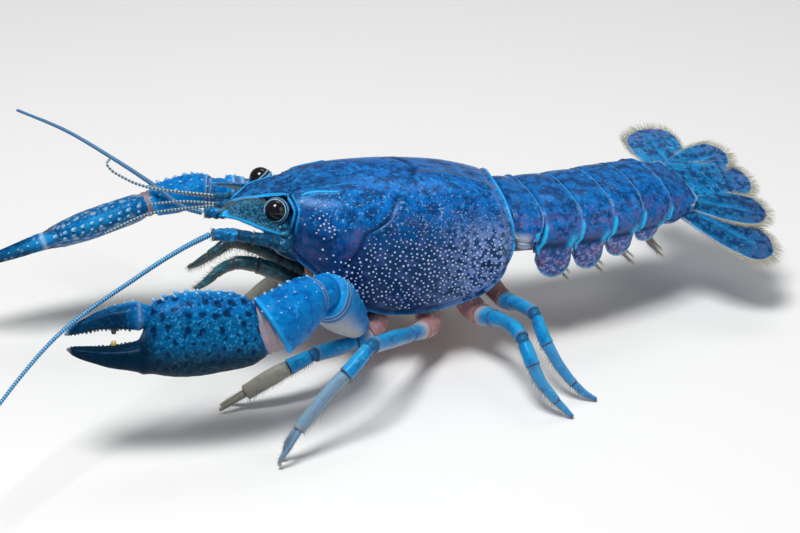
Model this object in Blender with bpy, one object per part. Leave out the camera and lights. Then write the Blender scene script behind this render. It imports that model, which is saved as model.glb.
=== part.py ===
"""A blue everglades crayfish as a life-size still model: head to -X, its left side to -Y, feet on Z = 0.

Places and sizes are in millimetres from a point under the middle of the carapace, and become metres
as each mesh is made. The whole model is moved at the end, so that its origin is its bottom centre.
"""

import math

import bmesh
import bpy
import numpy as np
from mathutils import Vector

MM = 0.001
GAP = 0.3
COLLECTION = "crayfish"
LEFT = -1
RIGHT = 1
LEAST_RADIUS = 0.12
LEAST_STEP = 0.05

# Rounded ends of a limb's pieces: places along the rounding as shares, and the size left at the end
ROUNDING_PLACES = (0.0, 0.15, 0.5, 1.0)
END_SIZE = 0.3

# Power of the curve over the back: 2 is an ellipse, and more is squarer
BACK_POWER = 2.3

# Carapace, front to rear: x, half width, top, height of the widest line, rim height, rim half width
CARAPACE_STATIONS = (
    (-17.4, 6.9, 31.4, 26.6, 22.3, 6.6),
    (-16.2, 7.7, 32.0, 26.2, 20.6, 7.3),
    (-14.0, 9.0, 32.4, 25.4, 18.6, 8.2),
    (-11.0, 10.4, 32.6, 24.4, 15.8, 9.0),
    (-8.0, 11.3, 32.7, 23.6, 13.0, 9.4),
    (-4.5, 11.9, 32.6, 22.8, 10.9, 9.7),
    (0.0, 12.2, 32.3, 22.2, 9.9, 9.9),
    (5.0, 12.2, 31.7, 21.8, 9.9, 9.9),
    (9.5, 12.0, 30.9, 21.5, 10.6, 10.0),
    (14.0, 11.5, 29.6, 21.4, 12.0, 10.1),
    (17.0, 10.9, 28.5, 21.6, 14.5, 10.2),
    (18.5, 10.4, 27.9, 22.0, 17.4, 10.2),
    (19.2, 10.1, 27.6, 22.6, 20.4, 10.0),
)
CARAPACE_WALL = 1.2
CARAPACE_RECESS = 3.2
# Rostrum, tip to root: x, half width, top, thickness
ROSTRUM_STATIONS = (
    (-25.8, 0.25, 29.4, 0.3),
    (-24.0, 1.35, 30.2, 0.7),
    (-22.2, 2.5, 30.8, 0.9),
    (-19.5, 3.1, 31.3, 1.0),
    (-16.5, 3.9, 31.7, 1.1),
    (-13.0, 4.6, 31.6, 1.2),
)

# Groove across the back and the ridge behind each eye, on the left side with y turned positive
GROOVE = ((4.9, -0.4, 31.9), (3.6, 3.0, 31.6), (1.6, 5.8, 30.7), (-0.6, 9.2, 28.4), (-2.6, 11.2, 26.2),
          (-5.6, 11.95, 24.2), (-7.6, 11.7, 22.4), (-9.4, 11.2, 20.2))
GROOVE_WIDTH = 0.42
RIDGE = ((-15.6, 6.0, 30.6, 0.3), (-14.4, 6.2, 31.0, 0.55), (-12.2, 6.6, 31.0, 0.5), (-9.4, 7.2, 30.7, 0.35))

# Abdomen: arc length of each segment, turn to the right and dip of each in degrees
SEGMENT_LENGTHS = (4.3, 6.4, 6.1, 5.9, 5.9, 7.0)
SEGMENT_TURNS = (3.0, 7.0, 10.0, 12.0, 14.0, 15.0)
SEGMENT_TOPS = (26.6, 25.9, 25.5, 25.2, 25.0, 24.4, 21.6)
SEGMENT_HALF_WIDTHS = (9.2, 9.7, 9.7, 9.3, 8.8, 8.0, 6.4)
PLEURON_BOTTOMS = (19.0, 12.8, 13.1, 14.2, 15.6, 17.2)
PLEURON_TOPS = (20.6, 17.6, 17.6, 18.0, 18.6, 19.2)
SEGMENT_ROLLS = (0.0, 0.0, 1.0, 3.0, 5.0, 8.0, 12.0)
ABDOMEN_START = (19.2 + GAP, 0.0)
PLEURON_TUCK = 0.7
PLEURON_WALL = 0.9

# Swimming limbs: indexes of their segments, then distance out, distance back, height, half width, half thickness
PLEOPOD_SEGMENTS = (1, 2, 3, 4)
PLEOPOD = ((4.6, 0.0, 19.4, 0.7, 0.5), (4.9, 0.0, 15.4, 0.75, 0.45), (5.4, 0.9, 13.0, 0.8, 0.3),
           (5.9, 2.6, 10.8, 0.3, 0.25))

# Tail fan: base, tip, direction across, half width, half thickness
FAN = {
    "telson": ((54.9, 6.9, 20.4), (69.6, 9.4, 17.4), (0.0, 0.93, 0.36), 4.3, 0.8),
    "uropod_inner_left": ((54.9, 2.9, 18.4), (69.4, 0.8, 15.0), (0.1, 0.93, 0.36), 3.6, 0.5),
    "uropod_outer_left": ((54.2, 1.4, 17.4), (67.6, -7.0, 11.2), (0.45, 0.8, 0.3), 4.1, 0.5),
    "uropod_inner_right": ((55.2, 10.6, 20.6), (67.0, 15.8, 20.6), (-0.4, 0.85, 0.3), 3.7, 0.5),
    "uropod_outer_right": ((55.6, 11.6, 20.4), (54.0, 23.6, 23.0), (-1.0, 0.1, 0.0), 4.7, 0.5),
}

# Width of a lobe, as a share of its greatest, at each share of its length
LOBE_OUTLINE = ((0.0, 0.55), (0.12, 0.66), (0.35, 0.88), (0.6, 1.0), (0.8, 0.95), (0.91, 0.74),
                (0.97, 0.45), (1.0, 0.2))
TELSON_OUTLINE = ((0.0, 0.92), (0.2, 1.0), (0.45, 0.98), (0.6, 0.92), (0.8, 0.86), (0.91, 0.7),
                  (0.97, 0.45), (1.0, 0.2))

# Head parts
EYE_RADIUS = 1.9
EYES = {LEFT: (-19.4, -5.6, 29.3), RIGHT: (-19.9, 5.6, 29.9)}
EYESTALK_ROOTS = {LEFT: (-16.4, -2.6, 28.4), RIGHT: (-16.6, 2.6, 28.8)}
EYESTALK_RADIUS = 1.3


def clear_scene():
    for obj in list(bpy.data.objects):
        bpy.data.objects.remove(obj, do_unlink=True)
    bpy.context.scene.collection.children.link(bpy.data.collections.new(COLLECTION))


def unit(vector):
    vector = np.asarray(vector, float)
    return vector / np.linalg.norm(vector)


def material(name, colour, roughness=0.35):
    made = bpy.data.materials.new(name)
    made.use_nodes = True
    shader = made.node_tree.nodes["Principled BSDF"]
    shader.inputs["Base Color"].default_value = (*colour, 1.0)
    shader.inputs["Roughness"].default_value = roughness
    return made


def split_faces(maker):
    """Every face made triangles. It is done at a thousand times the size, where no area rounds to nothing."""
    bmesh.ops.scale(maker, vec=(1 / MM, 1 / MM, 1 / MM), verts=maker.verts[:])
    bmesh.ops.triangulate(maker, faces=maker.faces[:], quad_method="FIXED", ngon_method="EAR_CLIP")
    bmesh.ops.scale(maker, vec=(MM, MM, MM), verts=maker.verts[:])


def solid(name, rings, colour):
    """A closed mesh through the rings, which all have as many points, with a flat cap at each end."""
    rings = [np.asarray(ring, float) * MM for ring in rings]
    count = len(rings[0])
    mesh = bpy.data.meshes.new(name)
    maker = bmesh.new()
    rows = [[maker.verts.new(point) for point in ring] for ring in rings]
    for first, second in zip(rows, rows[1:]):
        for i in range(count):
            j = (i + 1) % count
            maker.faces.new((first[i], first[j], second[j], second[i]))
    maker.faces.new(rows[0][::-1])
    maker.faces.new(rows[-1])
    split_faces(maker)
    bmesh.ops.recalc_face_normals(maker, faces=maker.faces[:])
    if maker.calc_volume(signed=True) < 0:
        bmesh.ops.reverse_faces(maker, faces=maker.faces[:])
    maker.to_mesh(mesh)
    maker.free()
    return add_object(name, mesh, colour)


def add_object(name, mesh, colour):
    obj = bpy.data.objects.new(name, mesh)
    bpy.data.collections[COLLECTION].objects.link(obj)
    mesh.materials.append(material(name, colour))
    return obj


def wire(name, stations, colour, steps=3):
    """A round whip along x, y, z, radius rows: a curve with filled caps, made a closed mesh."""
    rows = smooth_path(stations, steps)
    curve = bpy.data.curves.new(name, "CURVE")
    curve.dimensions = "3D"
    curve.bevel_depth = MM
    curve.bevel_resolution = 1
    curve.use_fill_caps = True
    spline = curve.splines.new("POLY")
    spline.points.add(len(rows) - 1)
    for point, (x, y, z, radius) in zip(spline.points, rows):
        point.co = (x * MM, y * MM, z * MM, 1.0)
        point.radius = radius
    guide = bpy.data.objects.new(name, curve)
    bpy.context.scene.collection.objects.link(guide)
    mesh = bpy.data.meshes.new_from_object(guide.evaluated_get(bpy.context.evaluated_depsgraph_get()))
    bpy.data.objects.remove(guide, do_unlink=True)
    bpy.data.curves.remove(curve)
    maker = bmesh.new()
    maker.from_mesh(mesh)
    bmesh.ops.remove_doubles(maker, verts=maker.verts[:], dist=0.01 * MM)
    split_faces(maker)
    bmesh.ops.recalc_face_normals(maker, faces=maker.faces[:])
    maker.to_mesh(mesh)
    maker.free()
    mesh.materials.clear()
    return add_object(name, mesh, colour)


def smooth_path(points, steps):
    """A curve through rows of numbers, with a few steps to each span."""
    rows = np.asarray(points, float)
    padded = np.vstack([2 * rows[0] - rows[1], rows, 2 * rows[-1] - rows[-2]])
    made = []
    for i in range(1, len(padded) - 2):
        before, start, end, after = padded[i - 1 : i + 3]
        for step in range(steps):
            t = step / steps
            made.append(
                0.5
                * (
                    2 * start
                    + (end - before) * t
                    + (2 * before - 5 * start + 4 * end - after) * t**2
                    + (3 * start - before - 3 * end + after) * t**3
                )
            )
    made.append(rows[-1])
    return np.array(made)


def tube(name, stations, colour, sides=10, steps=3, up=(0, 0, 1), power=2.0, rounding=0.0, floor=None):
    """A solid along x, y, z, half width, half height rows. Width lies level, height lies towards up."""
    rows = smooth_path(stations, steps)
    rows[:, 3:] = np.maximum(rows[:, 3:], LEAST_RADIUS)
    lengths = np.concatenate([[0], np.cumsum(np.linalg.norm(np.diff(rows[:, :3], axis=0), axis=1))])
    bends = rounding * np.array(ROUNDING_PLACES)
    places = np.unique(np.round(np.concatenate([lengths, bends, lengths[-1] - bends]), 4))
    places = places[np.concatenate([[True], np.diff(places) > LEAST_STEP])]
    places[-1] = lengths[-1]
    rows = np.stack([np.interp(places, lengths, rows[:, i]) for i in range(5)], axis=1)
    tangents = np.gradient(rows[:, :3], axis=0)
    rings = []
    turn = np.linspace(0, 2 * math.pi, sides, endpoint=False)
    for place, row, tangent in zip(places, rows, tangents):
        along = unit(tangent)
        across = unit(np.cross(along, up))
        top = np.cross(across, along)
        size = 1.0
        distance = min(place, places[-1] - place)
        if distance < rounding:
            size = max(END_SIZE, math.sqrt(1 - (1 - distance / rounding) ** 2))
        cosine, sine = np.cos(turn), np.sin(turn)
        flat = np.sign(cosine) * np.abs(cosine) ** (2 / power) * row[3] * size
        tall = np.sign(sine) * np.abs(sine) ** (2 / power) * row[4] * size
        ring = row[:3] + np.outer(flat, across) + np.outer(tall, top)
        if floor is not None:
            ring[:, 2] = np.maximum(ring[:, 2], floor)
        rings.append(ring)
    return solid(name, rings, colour)


def boolean(obj, others, operation, solver="MANIFOLD"):
    """The object joined with, or cut by, the others, which are then removed."""
    tools = bpy.data.collections.new("tools")
    for other in others:
        tools.objects.link(other)
    modifier = obj.modifiers.new("shape", "BOOLEAN")
    modifier.operation = operation
    modifier.operand_type = "COLLECTION"
    modifier.collection = tools
    modifier.solver = solver
    graph = bpy.context.evaluated_depsgraph_get()
    made = bpy.data.meshes.new_from_object(obj.evaluated_get(graph))
    obj.modifiers.remove(modifier)
    made.name = obj.name
    obj.data = made
    for other in others:
        bpy.data.objects.remove(other, do_unlink=True)
    bpy.data.collections.remove(tools)
    keep_largest(obj)
    return obj


def keep_largest(obj):
    """Only the largest closed surface of the mesh, in triangles, under one material."""
    maker = bmesh.new()
    maker.from_mesh(obj.data)
    bmesh.ops.remove_doubles(maker, verts=maker.verts[:], dist=0.002 * MM)
    bmesh.ops.dissolve_degenerate(maker, edges=maker.edges[:], dist=0.002 * MM)
    split_faces(maker)
    maker.verts.ensure_lookup_table()
    seen = set()
    groups = []
    for vert in maker.verts:
        if vert in seen:
            continue
        seen.add(vert)
        group = [vert]
        for member in group:
            for edge in member.link_edges:
                other = edge.other_vert(member)
                if other not in seen:
                    seen.add(other)
                    group.append(other)
        groups.append(group)
    groups.sort(key=len, reverse=True)
    for group in groups[1:]:
        bmesh.ops.delete(maker, geom=group, context="VERTS")
    for face in maker.faces:
        face.material_index = 0
    maker.to_mesh(obj.data)
    maker.free()


def swollen(obj, distance=GAP):
    """A copy of the object, larger by a distance on every side."""
    maker = bmesh.new()
    maker.from_mesh(obj.data)
    maker.normal_update()
    moves = [vert.normal.copy() * distance * MM for vert in maker.verts]
    for vert, move in zip(maker.verts, moves):
        vert.co += move
    mesh = bpy.data.meshes.new("swollen")
    maker.to_mesh(mesh)
    maker.free()
    return bpy.data.objects.new("swollen", mesh)


def clear_of(obj, *neighbours):
    """The object cut back until it stands a gap away from each neighbour."""
    for neighbour in neighbours:
        boolean(obj, [swollen(neighbour)], "DIFFERENCE")
    return obj


def arch(half_width, top, widest, rim, rim_half_width, wall, recess, points=9, flank=4, power=BACK_POWER):
    """A shell section as y, z rows: over the back from rim to rim, then back underneath."""
    upper = np.linspace(0, math.pi / 2, points)
    side = half_width * np.sin(upper) ** (2 / power)
    height = widest + (top - widest) * np.cos(upper) ** (2 / power)
    down = np.linspace(0, 1, flank + 1)[1:]
    side = np.concatenate([side, half_width - (half_width - rim_half_width) * down**2])
    height = np.concatenate([height, widest - (widest - rim) * down])
    right = np.stack([side, height], axis=1)
    left = right[::-1] * (-1, 1)
    roof = rim + recess
    inner = np.array(
        [
            (rim_half_width - wall, rim + 0.1),
            (rim_half_width - wall - 0.2, roof),
            (-rim_half_width + wall + 0.2, roof),
            (-rim_half_width + wall, rim + 0.1),
        ]
    )
    return np.vstack([left[:-1], right, inner])


SHELL = (0.02, 0.16, 0.55)


def make_carapace():
    rings = []
    for x, half_width, top, widest, rim, rim_half_width in smooth_path(CARAPACE_STATIONS, 2):
        recess = min(CARAPACE_RECESS, (top - rim) * 0.4)
        section = arch(half_width, top, widest, rim, rim_half_width, CARAPACE_WALL, recess)
        rings.append(np.column_stack([np.full(len(section), x), section]))
    carapace = solid("carapace", rings, SHELL)
    rings = []
    for x, half_width, top, thick in smooth_path(ROSTRUM_STATIONS, 2):
        raised = 0.35 * half_width / 4
        ring = [
            (x, -half_width, top),
            (x, -half_width * 0.8, top + 0.1),
            (x, 0, top - raised),
            (x, half_width * 0.8, top + 0.1),
            (x, half_width, top),
            (x, half_width * 0.6, top - thick),
            (x, -half_width * 0.6, top - thick),
        ]
        rings.append(ring)
    rostrum = solid("rostrum", rings, SHELL)
    ridges = [tube("ridge", [(x, side * y, z, w, w) for x, y, z, w in RIDGE], SHELL, sides=8, steps=2)
              for side in (LEFT, RIGHT)]
    boolean(carapace, [rostrum, *ridges], "UNION")
    grooves = [tube("groove", [(x, side * y, z, GROOVE_WIDTH, GROOVE_WIDTH) for x, y, z in GROOVE], SHELL,
                    sides=6, steps=3, up=(1, 0, 0)) for side in (LEFT, RIGHT)]
    for groove in grooves:
        boolean(carapace, [groove], "DIFFERENCE")
    return carapace


def make_thorax():
    stations = (
        (-13.0, 0, 15.6, 4.5, 2.0),
        (-8.0, 0, 12.0, 6.5, 2.6),
        (0.0, 0, 10.2, 7.4, 2.6),
        (8.0, 0, 10.4, 7.6, 2.6),
        (14.0, 0, 11.6, 7.2, 2.6),
        (17.8, 0, 13.6, 6.0, 2.2),
    )
    return tube("thorax_underside", stations, (0.6, 0.28, 0.22), sides=14, steps=2, power=3.0)


def abdomen_frames():
    """The axis at each segment joint: plan place, forward direction, and the values of the section there."""
    x, y = ABDOMEN_START
    frames = [(x, y, math.radians(SEGMENT_TURNS[0]) * 0.5)]
    for i, (length, turn) in enumerate(zip(SEGMENT_LENGTHS, SEGMENT_TURNS)):
        angle = math.radians(turn)
        x += length * math.cos(angle)
        y += length * math.sin(angle)
        following = SEGMENT_TURNS[min(i + 1, len(SEGMENT_TURNS) - 1)]
        frames.append((x, y, math.radians(turn + following) / 2))
    return frames


def place_section(section, x, y, angle, roll, centre_height):
    """A y, z section set upright at x, y, turned by the angle and rolled about its middle."""
    across = np.array([-math.sin(angle), math.cos(angle), 0.0])
    up = np.array([0.0, 0.0, 1.0])
    cosine, sine = math.cos(roll), math.sin(roll)
    side = section[:, 0] * cosine - (section[:, 1] - centre_height) * sine
    height = section[:, 0] * sine + (section[:, 1] - centre_height) * cosine + centre_height
    return np.array([x, y, 0.0]) + np.outer(side, across) + np.outer(height, up)


def make_pleopod(start, end, side):
    """A swimming limb under the middle of a segment, from inside its roof down and to the rear."""
    angle = start[2]
    beside = np.array([-math.sin(angle), math.cos(angle), 0.0]) * side
    behind = np.array([math.cos(angle), math.sin(angle), 0.0])
    middle = np.array([(start[0] + end[0]) / 2, (start[1] + end[1]) / 2, 0.0])
    rows = [(*(middle + beside * out + behind * back + (0, 0, height)), width, thick)
            for out, back, height, width, thick in PLEOPOD]
    return tube("pleopod", rows, SHELL, sides=6, steps=1, up=behind)


def make_abdomen():
    frames = abdomen_frames()
    segments = []
    places = (0.0, 0.12, 0.3, 0.5, 0.7, 0.88, 1.0)
    for i in range(6):
        (x0, y0, a0), (x1, y1, a1) = frames[i], frames[i + 1]
        rings = []
        for place in places:
            x = x0 + (x1 - x0) * place
            y = y0 + (y1 - y0) * place
            angle = a0 + (a1 - a0) * place
            inset = GAP / 2 * (1 - 2 * place)
            x += inset * math.cos(angle)
            y += inset * math.sin(angle)
            top = SEGMENT_TOPS[i] + (SEGMENT_TOPS[i + 1] - SEGMENT_TOPS[i]) * place
            half = SEGMENT_HALF_WIDTHS[i] + (SEGMENT_HALF_WIDTHS[i + 1] - SEGMENT_HALF_WIDTHS[i]) * place
            roll = math.radians(SEGMENT_ROLLS[i] + (SEGMENT_ROLLS[i + 1] - SEGMENT_ROLLS[i]) * place)
            lobe = math.sqrt(max(0.0, 1 - (2 * place - 1) ** 2)) ** 0.8
            rim = PLEURON_TOPS[i] + (PLEURON_BOTTOMS[i] - PLEURON_TOPS[i]) * lobe
            widest = max(rim + 1.0, top - 6.0)
            recess = PLEURON_TOPS[i] - rim + 1.2
            rim_half = half - PLEURON_TUCK
            section = arch(half, top, widest, rim, rim_half, PLEURON_WALL, recess, points=7, flank=2)
            rings.append(place_section(section, x, y, angle, roll, (top + rim) / 2))
        segment = solid(f"abdomen_segment_{i + 1}", rings, SHELL)
        if i in PLEOPOD_SEGMENTS:
            boolean(segment, [make_pleopod(frames[i], frames[i + 1], side) for side in (LEFT, RIGHT)], "UNION")
        segments.append(segment)
    return segments


def make_lobe(name, base, tip, across, half_width, half_thickness):
    """A flat lobe of the tail fan: narrow at its base, broad and round at its end."""
    base = np.array(base)
    tip = np.array(tip)
    along = unit(tip - base)
    across = unit(np.array(across) - np.dot(across, along) * along)
    normal = np.cross(along, across)
    length = np.linalg.norm(tip - base)
    turn = np.linspace(0, 2 * math.pi, 12, endpoint=False)
    outline = TELSON_OUTLINE if name == "telson" else LOBE_OUTLINE
    rings = []
    for place, width in outline:
        centre = base + along * length * place
        thick = half_thickness * (1.25 - 0.6 * place) if place < 0.95 else 0.3
        flat = np.outer(np.cos(turn) * half_width * width, across)
        rings.append(centre + flat + np.outer(np.sin(turn) * thick, normal))
    return solid(name, rings, SHELL)


def make_fan():
    return {name: make_lobe(name, *values) for name, values in FAN.items()}


def make_face():
    """The front of the head under the rostrum, where the eyestalks, antennae and mouth are set."""
    stations = (
        (-13.5, 0, 23.5, 6.0, 6.0),
        (-17.0, 0, 24.0, 5.8, 5.0),
        (-19.0, 0, 24.6, 4.2, 3.6),
        (-20.6, 0, 25.0, 2.4, 2.4),
    )
    return tube("face", stations, (0.03, 0.2, 0.3), sides=14, steps=2, power=2.6)


def make_ball(name, centre, radius, colour):
    mesh = bpy.data.meshes.new(name)
    maker = bmesh.new()
    bmesh.ops.create_uvsphere(maker, u_segments=14, v_segments=9, radius=radius * MM)
    bmesh.ops.translate(maker, verts=maker.verts[:], vec=Vector(centre) * MM)
    split_faces(maker)
    maker.to_mesh(mesh)
    maker.free()
    return add_object(name, mesh, colour)


def side_name(side):
    return "left" if side == LEFT else "right"


def make_head():
    made = {}
    for side in (LEFT, RIGHT):
        tag = side_name(side)
        eye = make_ball(f"eye_{tag}", EYES[side], EYE_RADIUS, (0.005, 0.005, 0.008))
        root = np.array(EYESTALK_ROOTS[side])
        end = np.array(EYES[side])
        stations = [(*(root + (end - root) * t), EYESTALK_RADIUS * w, EYESTALK_RADIUS * w) for t, w in
                    ((0.0, 0.8), (0.4, 0.95), (0.85, 1.15))]
        stalk = tube(f"eyestalk_{tag}", stations, (0.03, 0.25, 0.4), sides=10, steps=2)
        made[f"eye_{tag}"] = eye
        made[f"eyestalk_{tag}"] = stalk
    return made


# Antenna stalks, scales and whips, each row x, y, z, half width, half height
PEDUNCLES = {
    LEFT: ((-17.6, -6.2, 24.6, 1.6, 1.6), (-19.0, -7.4, 24.6, 1.9, 1.8), (-22.5, -7.8, 25.6, 1.4, 1.3),
           (-26.4, -8.0, 26.9, 1.25, 1.2), (-30.4, -8.5, 27.7, 0.95, 0.95)),
    RIGHT: ((-17.6, 6.2, 24.4, 1.6, 1.6), (-19.0, 7.2, 24.2, 1.9, 1.8), (-22.5, 7.0, 23.8, 1.4, 1.3),
            (-26.0, 6.8, 23.8, 1.25, 1.2), (-29.4, 7.2, 24.0, 0.95, 0.95)),
}
SCALES = {
    LEFT: ((-18.4, -6.9, 27.0, 0.9, 0.5), (-20.6, -7.1, 27.9, 1.3, 0.45), (-22.6, -6.7, 28.9, 2.1, 0.42),
           (-25.2, -6.4, 29.6, 1.6, 0.4), (-28.4, -6.4, 30.3, 0.25, 0.25)),
    RIGHT: ((-18.4, 6.9, 26.8, 0.9, 0.5), (-20.6, 7.1, 27.4, 1.3, 0.45), (-22.6, 6.7, 28.2, 2.1, 0.42),
            (-25.2, 6.4, 28.7, 1.6, 0.4), (-28.4, 6.4, 29.2, 0.25, 0.25)),
}
# A scale's inner edge lies higher than its outer one: how far its upper side leans out, to each unit of height
SCALE_LEAN = 0.45
WHIPS = {
    LEFT: ((-30.7, -8.5, 27.75, 0.5), (-36.0, -12.0, 27.4, 0.42), (-43.4, -17.0, 26.1, 0.38),
           (-55.8, -26.0, 23.3, 0.34), (-65.8, -36.0, 18.5, 0.3), (-69.6, -41.5, 15.6, 0.26)),
    RIGHT: ((-29.7, 7.2, 24.0, 0.5), (-32.7, 9.0, 24.7, 0.44), (-36.8, 13.0, 27.2, 0.4),
            (-42.4, 18.0, 30.2, 0.36), (-49.7, 25.0, 33.3, 0.32), (-57.3, 31.0, 35.4, 0.26)),
}
ANTENNULES = {
    LEFT: (
        ((-19.6, -1.7, 27.6, 0.9), (-23.5, -1.9, 28.9, 0.95), (-27.6, -2.0, 29.6, 0.75),
         (-28.8, -2.0, 29.7, 0.6)),
        ((-28.0, -2.0, 29.5, 0.34), (-34.5, -4.0, 30.6, 0.3), (-40.3, -6.0, 31.2, 0.28),
         (-47.0, -9.0, 30.3, 0.25)),
        ((-28.0, -2.0, 29.8, 0.34), (-34.0, -2.6, 31.2, 0.3), (-39.5, -4.0, 32.0, 0.25)),
    ),
    RIGHT: (
        ((-19.6, 1.7, 27.6, 0.9), (-23.5, 1.5, 28.9, 0.95), (-27.4, 1.0, 29.7, 0.75),
         (-28.6, 0.9, 29.9, 0.6)),
        ((-28.0, 0.9, 29.9, 0.34), (-38.3, 3.0, 31.5, 0.3), (-43.1, 5.0, 33.4, 0.27),
         (-44.7, 6.0, 34.9, 0.25), (-44.2, 7.0, 35.4, 0.25)),
        ((-28.0, 0.9, 29.6, 0.34), (-33.5, 2.6, 30.2, 0.3), (-38.6, 4.9, 31.0, 0.25)),
    ),
}
MAXILLIPEDS = {
    side: ((-13.5, side * 3.6, 12.6, 1.5, 1.5), (-17.5, side * 3.9, 15.8, 1.7, 1.4),
           (-21.5, side * 4.0, 18.4, 1.5, 1.3), (-25.3, side * 3.9, 19.7, 1.1, 1.1),
           (-28.2, side * 3.2, 18.6, 0.9, 0.9), (-31.2, side * 3.6, 16.6, 0.6, 0.6),
           (-33.0, side * 4.0, 15.8, 0.3, 0.3))
    for side in (LEFT, RIGHT)
}
TEAL = (0.03, 0.22, 0.26)
BRIGHT = (0.02, 0.32, 0.75)


def make_whip(name, stations, cut, colour):
    """A long whip in two lengths, met at the share of its rows given by the cut."""
    rows = smooth_path(stations, 3)
    middle = int(len(rows) * cut)
    first = wire(f"{name}_base", rows[: middle + 1], colour, steps=1)
    direction = unit(rows[middle + 1, :3] - rows[middle, :3])
    second = rows[middle:].copy()
    second[0, :3] += direction * GAP
    return first, wire(f"{name}_end", second, colour, steps=1)


# Chelipeds: rows of x, y, z, half width, half height
LEFT_CLAW = {
    "ischium": ((-7.0, -5.8, 10.0, 2.2, 2.0), (-7.6, -8.6, 9.2, 2.2, 2.0), (-7.9, -11.2, 9.6, 2.3, 2.2)),
    "merus": ((-8.1, -11.6, 10.0, 2.4, 2.4), (-10.4, -14.6, 14.0, 3.3, 3.4), (-13.2, -18.0, 18.6, 3.9, 3.9),
              (-14.8, -20.0, 21.2, 3.2, 3.2)),
    "carpus": ((-15.5, -20.7, 21.9, 2.7, 3.0), (-18.4, -22.4, 21.4, 3.8, 4.1), (-22.0, -23.8, 19.9, 4.3, 4.9),
               (-24.4, -24.4, 18.8, 4.1, 4.9)),
}
RIGHT_CLAW = {
    "ischium": ((-7.0, 5.8, 10.0, 2.2, 2.0), (-8.0, 8.6, 9.6, 2.2, 2.0), (-9.0, 11.0, 10.6, 2.3, 2.2)),
    "merus": ((-9.4, 11.6, 11.2, 2.3, 2.3), (-14.5, 13.0, 16.6, 2.9, 3.0), (-20.5, 13.8, 22.4, 3.1, 3.1),
              (-25.2, 14.0, 24.3, 2.6, 2.5)),
    "carpus": ((-26.2, 14.0, 24.4, 2.4, 2.3), (-30.0, 14.6, 24.6, 3.4, 2.8), (-34.4, 15.4, 23.5, 3.3, 2.7),
               (-36.9, 15.8, 22.7, 2.5, 2.1)),
}
# How far the base of a palm leans, to each unit across it, and the distance along it where the lean has gone
PALM_LEAN = {LEFT: 0.5, RIGHT: 0.0}
LEAN_REACH = 7.0
# Chela: wrist, direction along, direction across towards the dactyl, palm length, half width,
# half thickness, length of the fingers
CHELAE = {
    LEFT: ((-25.2, -24.5, 18.6), (-28.5, 0.6, 2.3), (0.0, 0.42, 0.9), 18.2, 6.4, 3.9, 11.8),
    RIGHT: ((-37.6, 16.0, 22.4), (-17.4, 0.3, -4.9), (0.0, -0.88, 0.47), 17.4, 5.2, 2.5, 14.4),
}


# Tubercles along the palm's upper edge: their number, the shares of its length that they reach, and their length
TUBERCLES = 9
TUBERCLE_REACH = (0.07, 0.9)
TUBERCLE_LENGTH = 1.1


def chela_rows(wrist, along, across, rows):
    """Rows of distance along, distance across, half width, half thickness as x, y, z and half sizes."""
    return [(*(wrist + along * s + across * u), w, t) for s, u, w, t in rows]


def lean(hand, wrist, along, across, slope):
    """Leans the base of a palm, so that its lower corner lies nearer to the arm than its upper one."""
    for vert in hand.data.vertices:
        place = np.array(vert.co) / MM - wrist
        near = max(0.0, 1 - place @ along / LEAN_REACH)
        vert.co += Vector(along * (slope * near * (place @ across) * MM))


def make_chela(side):
    wrist, along, across, palm, half_width, thick, fingers = CHELAE[side]
    tag = side_name(side)
    along = unit(along)
    across = unit(np.array(across) - np.dot(across, along) * along)
    normal = np.cross(across, along)
    palm_rows = (
        (0.0, 0.0, half_width * 0.52, thick * 0.7),
        (palm * 0.1, 0.0, half_width * 0.78, thick * 0.92),
        (palm * 0.35, 0.0, half_width * 0.95, thick),
        (palm * 0.65, -0.2, half_width, thick),
        (palm * 0.88, -0.4, half_width * 0.9, thick * 0.85),
        (palm * 1.0, -0.5, half_width * 0.8, thick * 0.7),
    )
    hand = tube(f"cheliped_{tag}_palm", chela_rows(np.array(wrist), along, across, palm_rows), BRIGHT,
                sides=14, steps=2, up=normal, power=2.3)
    lean(hand, np.array(wrist), along, across, PALM_LEAN[side])
    low = -half_width * 0.52
    finger_rows = (
        (palm * 0.8, low, half_width * 0.36, thick * 0.6),
        (palm + fingers * 0.1, low, half_width * 0.36, thick * 0.62),
        (palm + fingers * 0.5, low + 0.2, half_width * 0.25, thick * 0.45),
        (palm + fingers * 0.85, low + 1.0, half_width * 0.13, thick * 0.26),
        (palm + fingers * 1.0, low + 1.6, 0.25, 0.25),
    )
    finger = tube("finger", chela_rows(np.array(wrist), along, across, finger_rows), BRIGHT,
                  sides=10, steps=2, up=normal, power=2.2)
    boolean(hand, [finger], "UNION")
    rows = np.array(palm_rows)
    for share in np.linspace(*TUBERCLE_REACH, TUBERCLES):
        s = palm * share
        edge = np.interp(s, rows[:, 0], rows[:, 1]) + np.interp(s, rows[:, 0], rows[:, 2])
        root = np.array(wrist) + along * s + across * (edge - TUBERCLE_LENGTH * 0.4)
        tip = root + (across + 0.7 * along) * TUBERCLE_LENGTH
        cone = tube("tubercle", [(*root, 0.5, 0.5), (*tip, 0.15, 0.15)], BRIGHT, sides=6, steps=1, up=normal)
        boolean(hand, [cone], "UNION")
    high = half_width * 0.45
    dactyl_rows = (
        (palm + GAP * 2, high, half_width * 0.3, thick * 0.5),
        (palm + fingers * 0.16, high, half_width * 0.33, thick * 0.56),
        (palm + fingers * 0.5, high - 0.3, half_width * 0.24, thick * 0.42),
        (palm + fingers * 0.85, high - 1.5, half_width * 0.13, thick * 0.26),
        (palm + fingers * 1.02, high - 2.4, 0.25, 0.25),
    )
    dactyl = tube(f"cheliped_{tag}_dactyl", chela_rows(np.array(wrist), along, across, dactyl_rows), BRIGHT,
                  sides=10, steps=2, up=normal, power=2.2)
    return hand, dactyl


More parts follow.
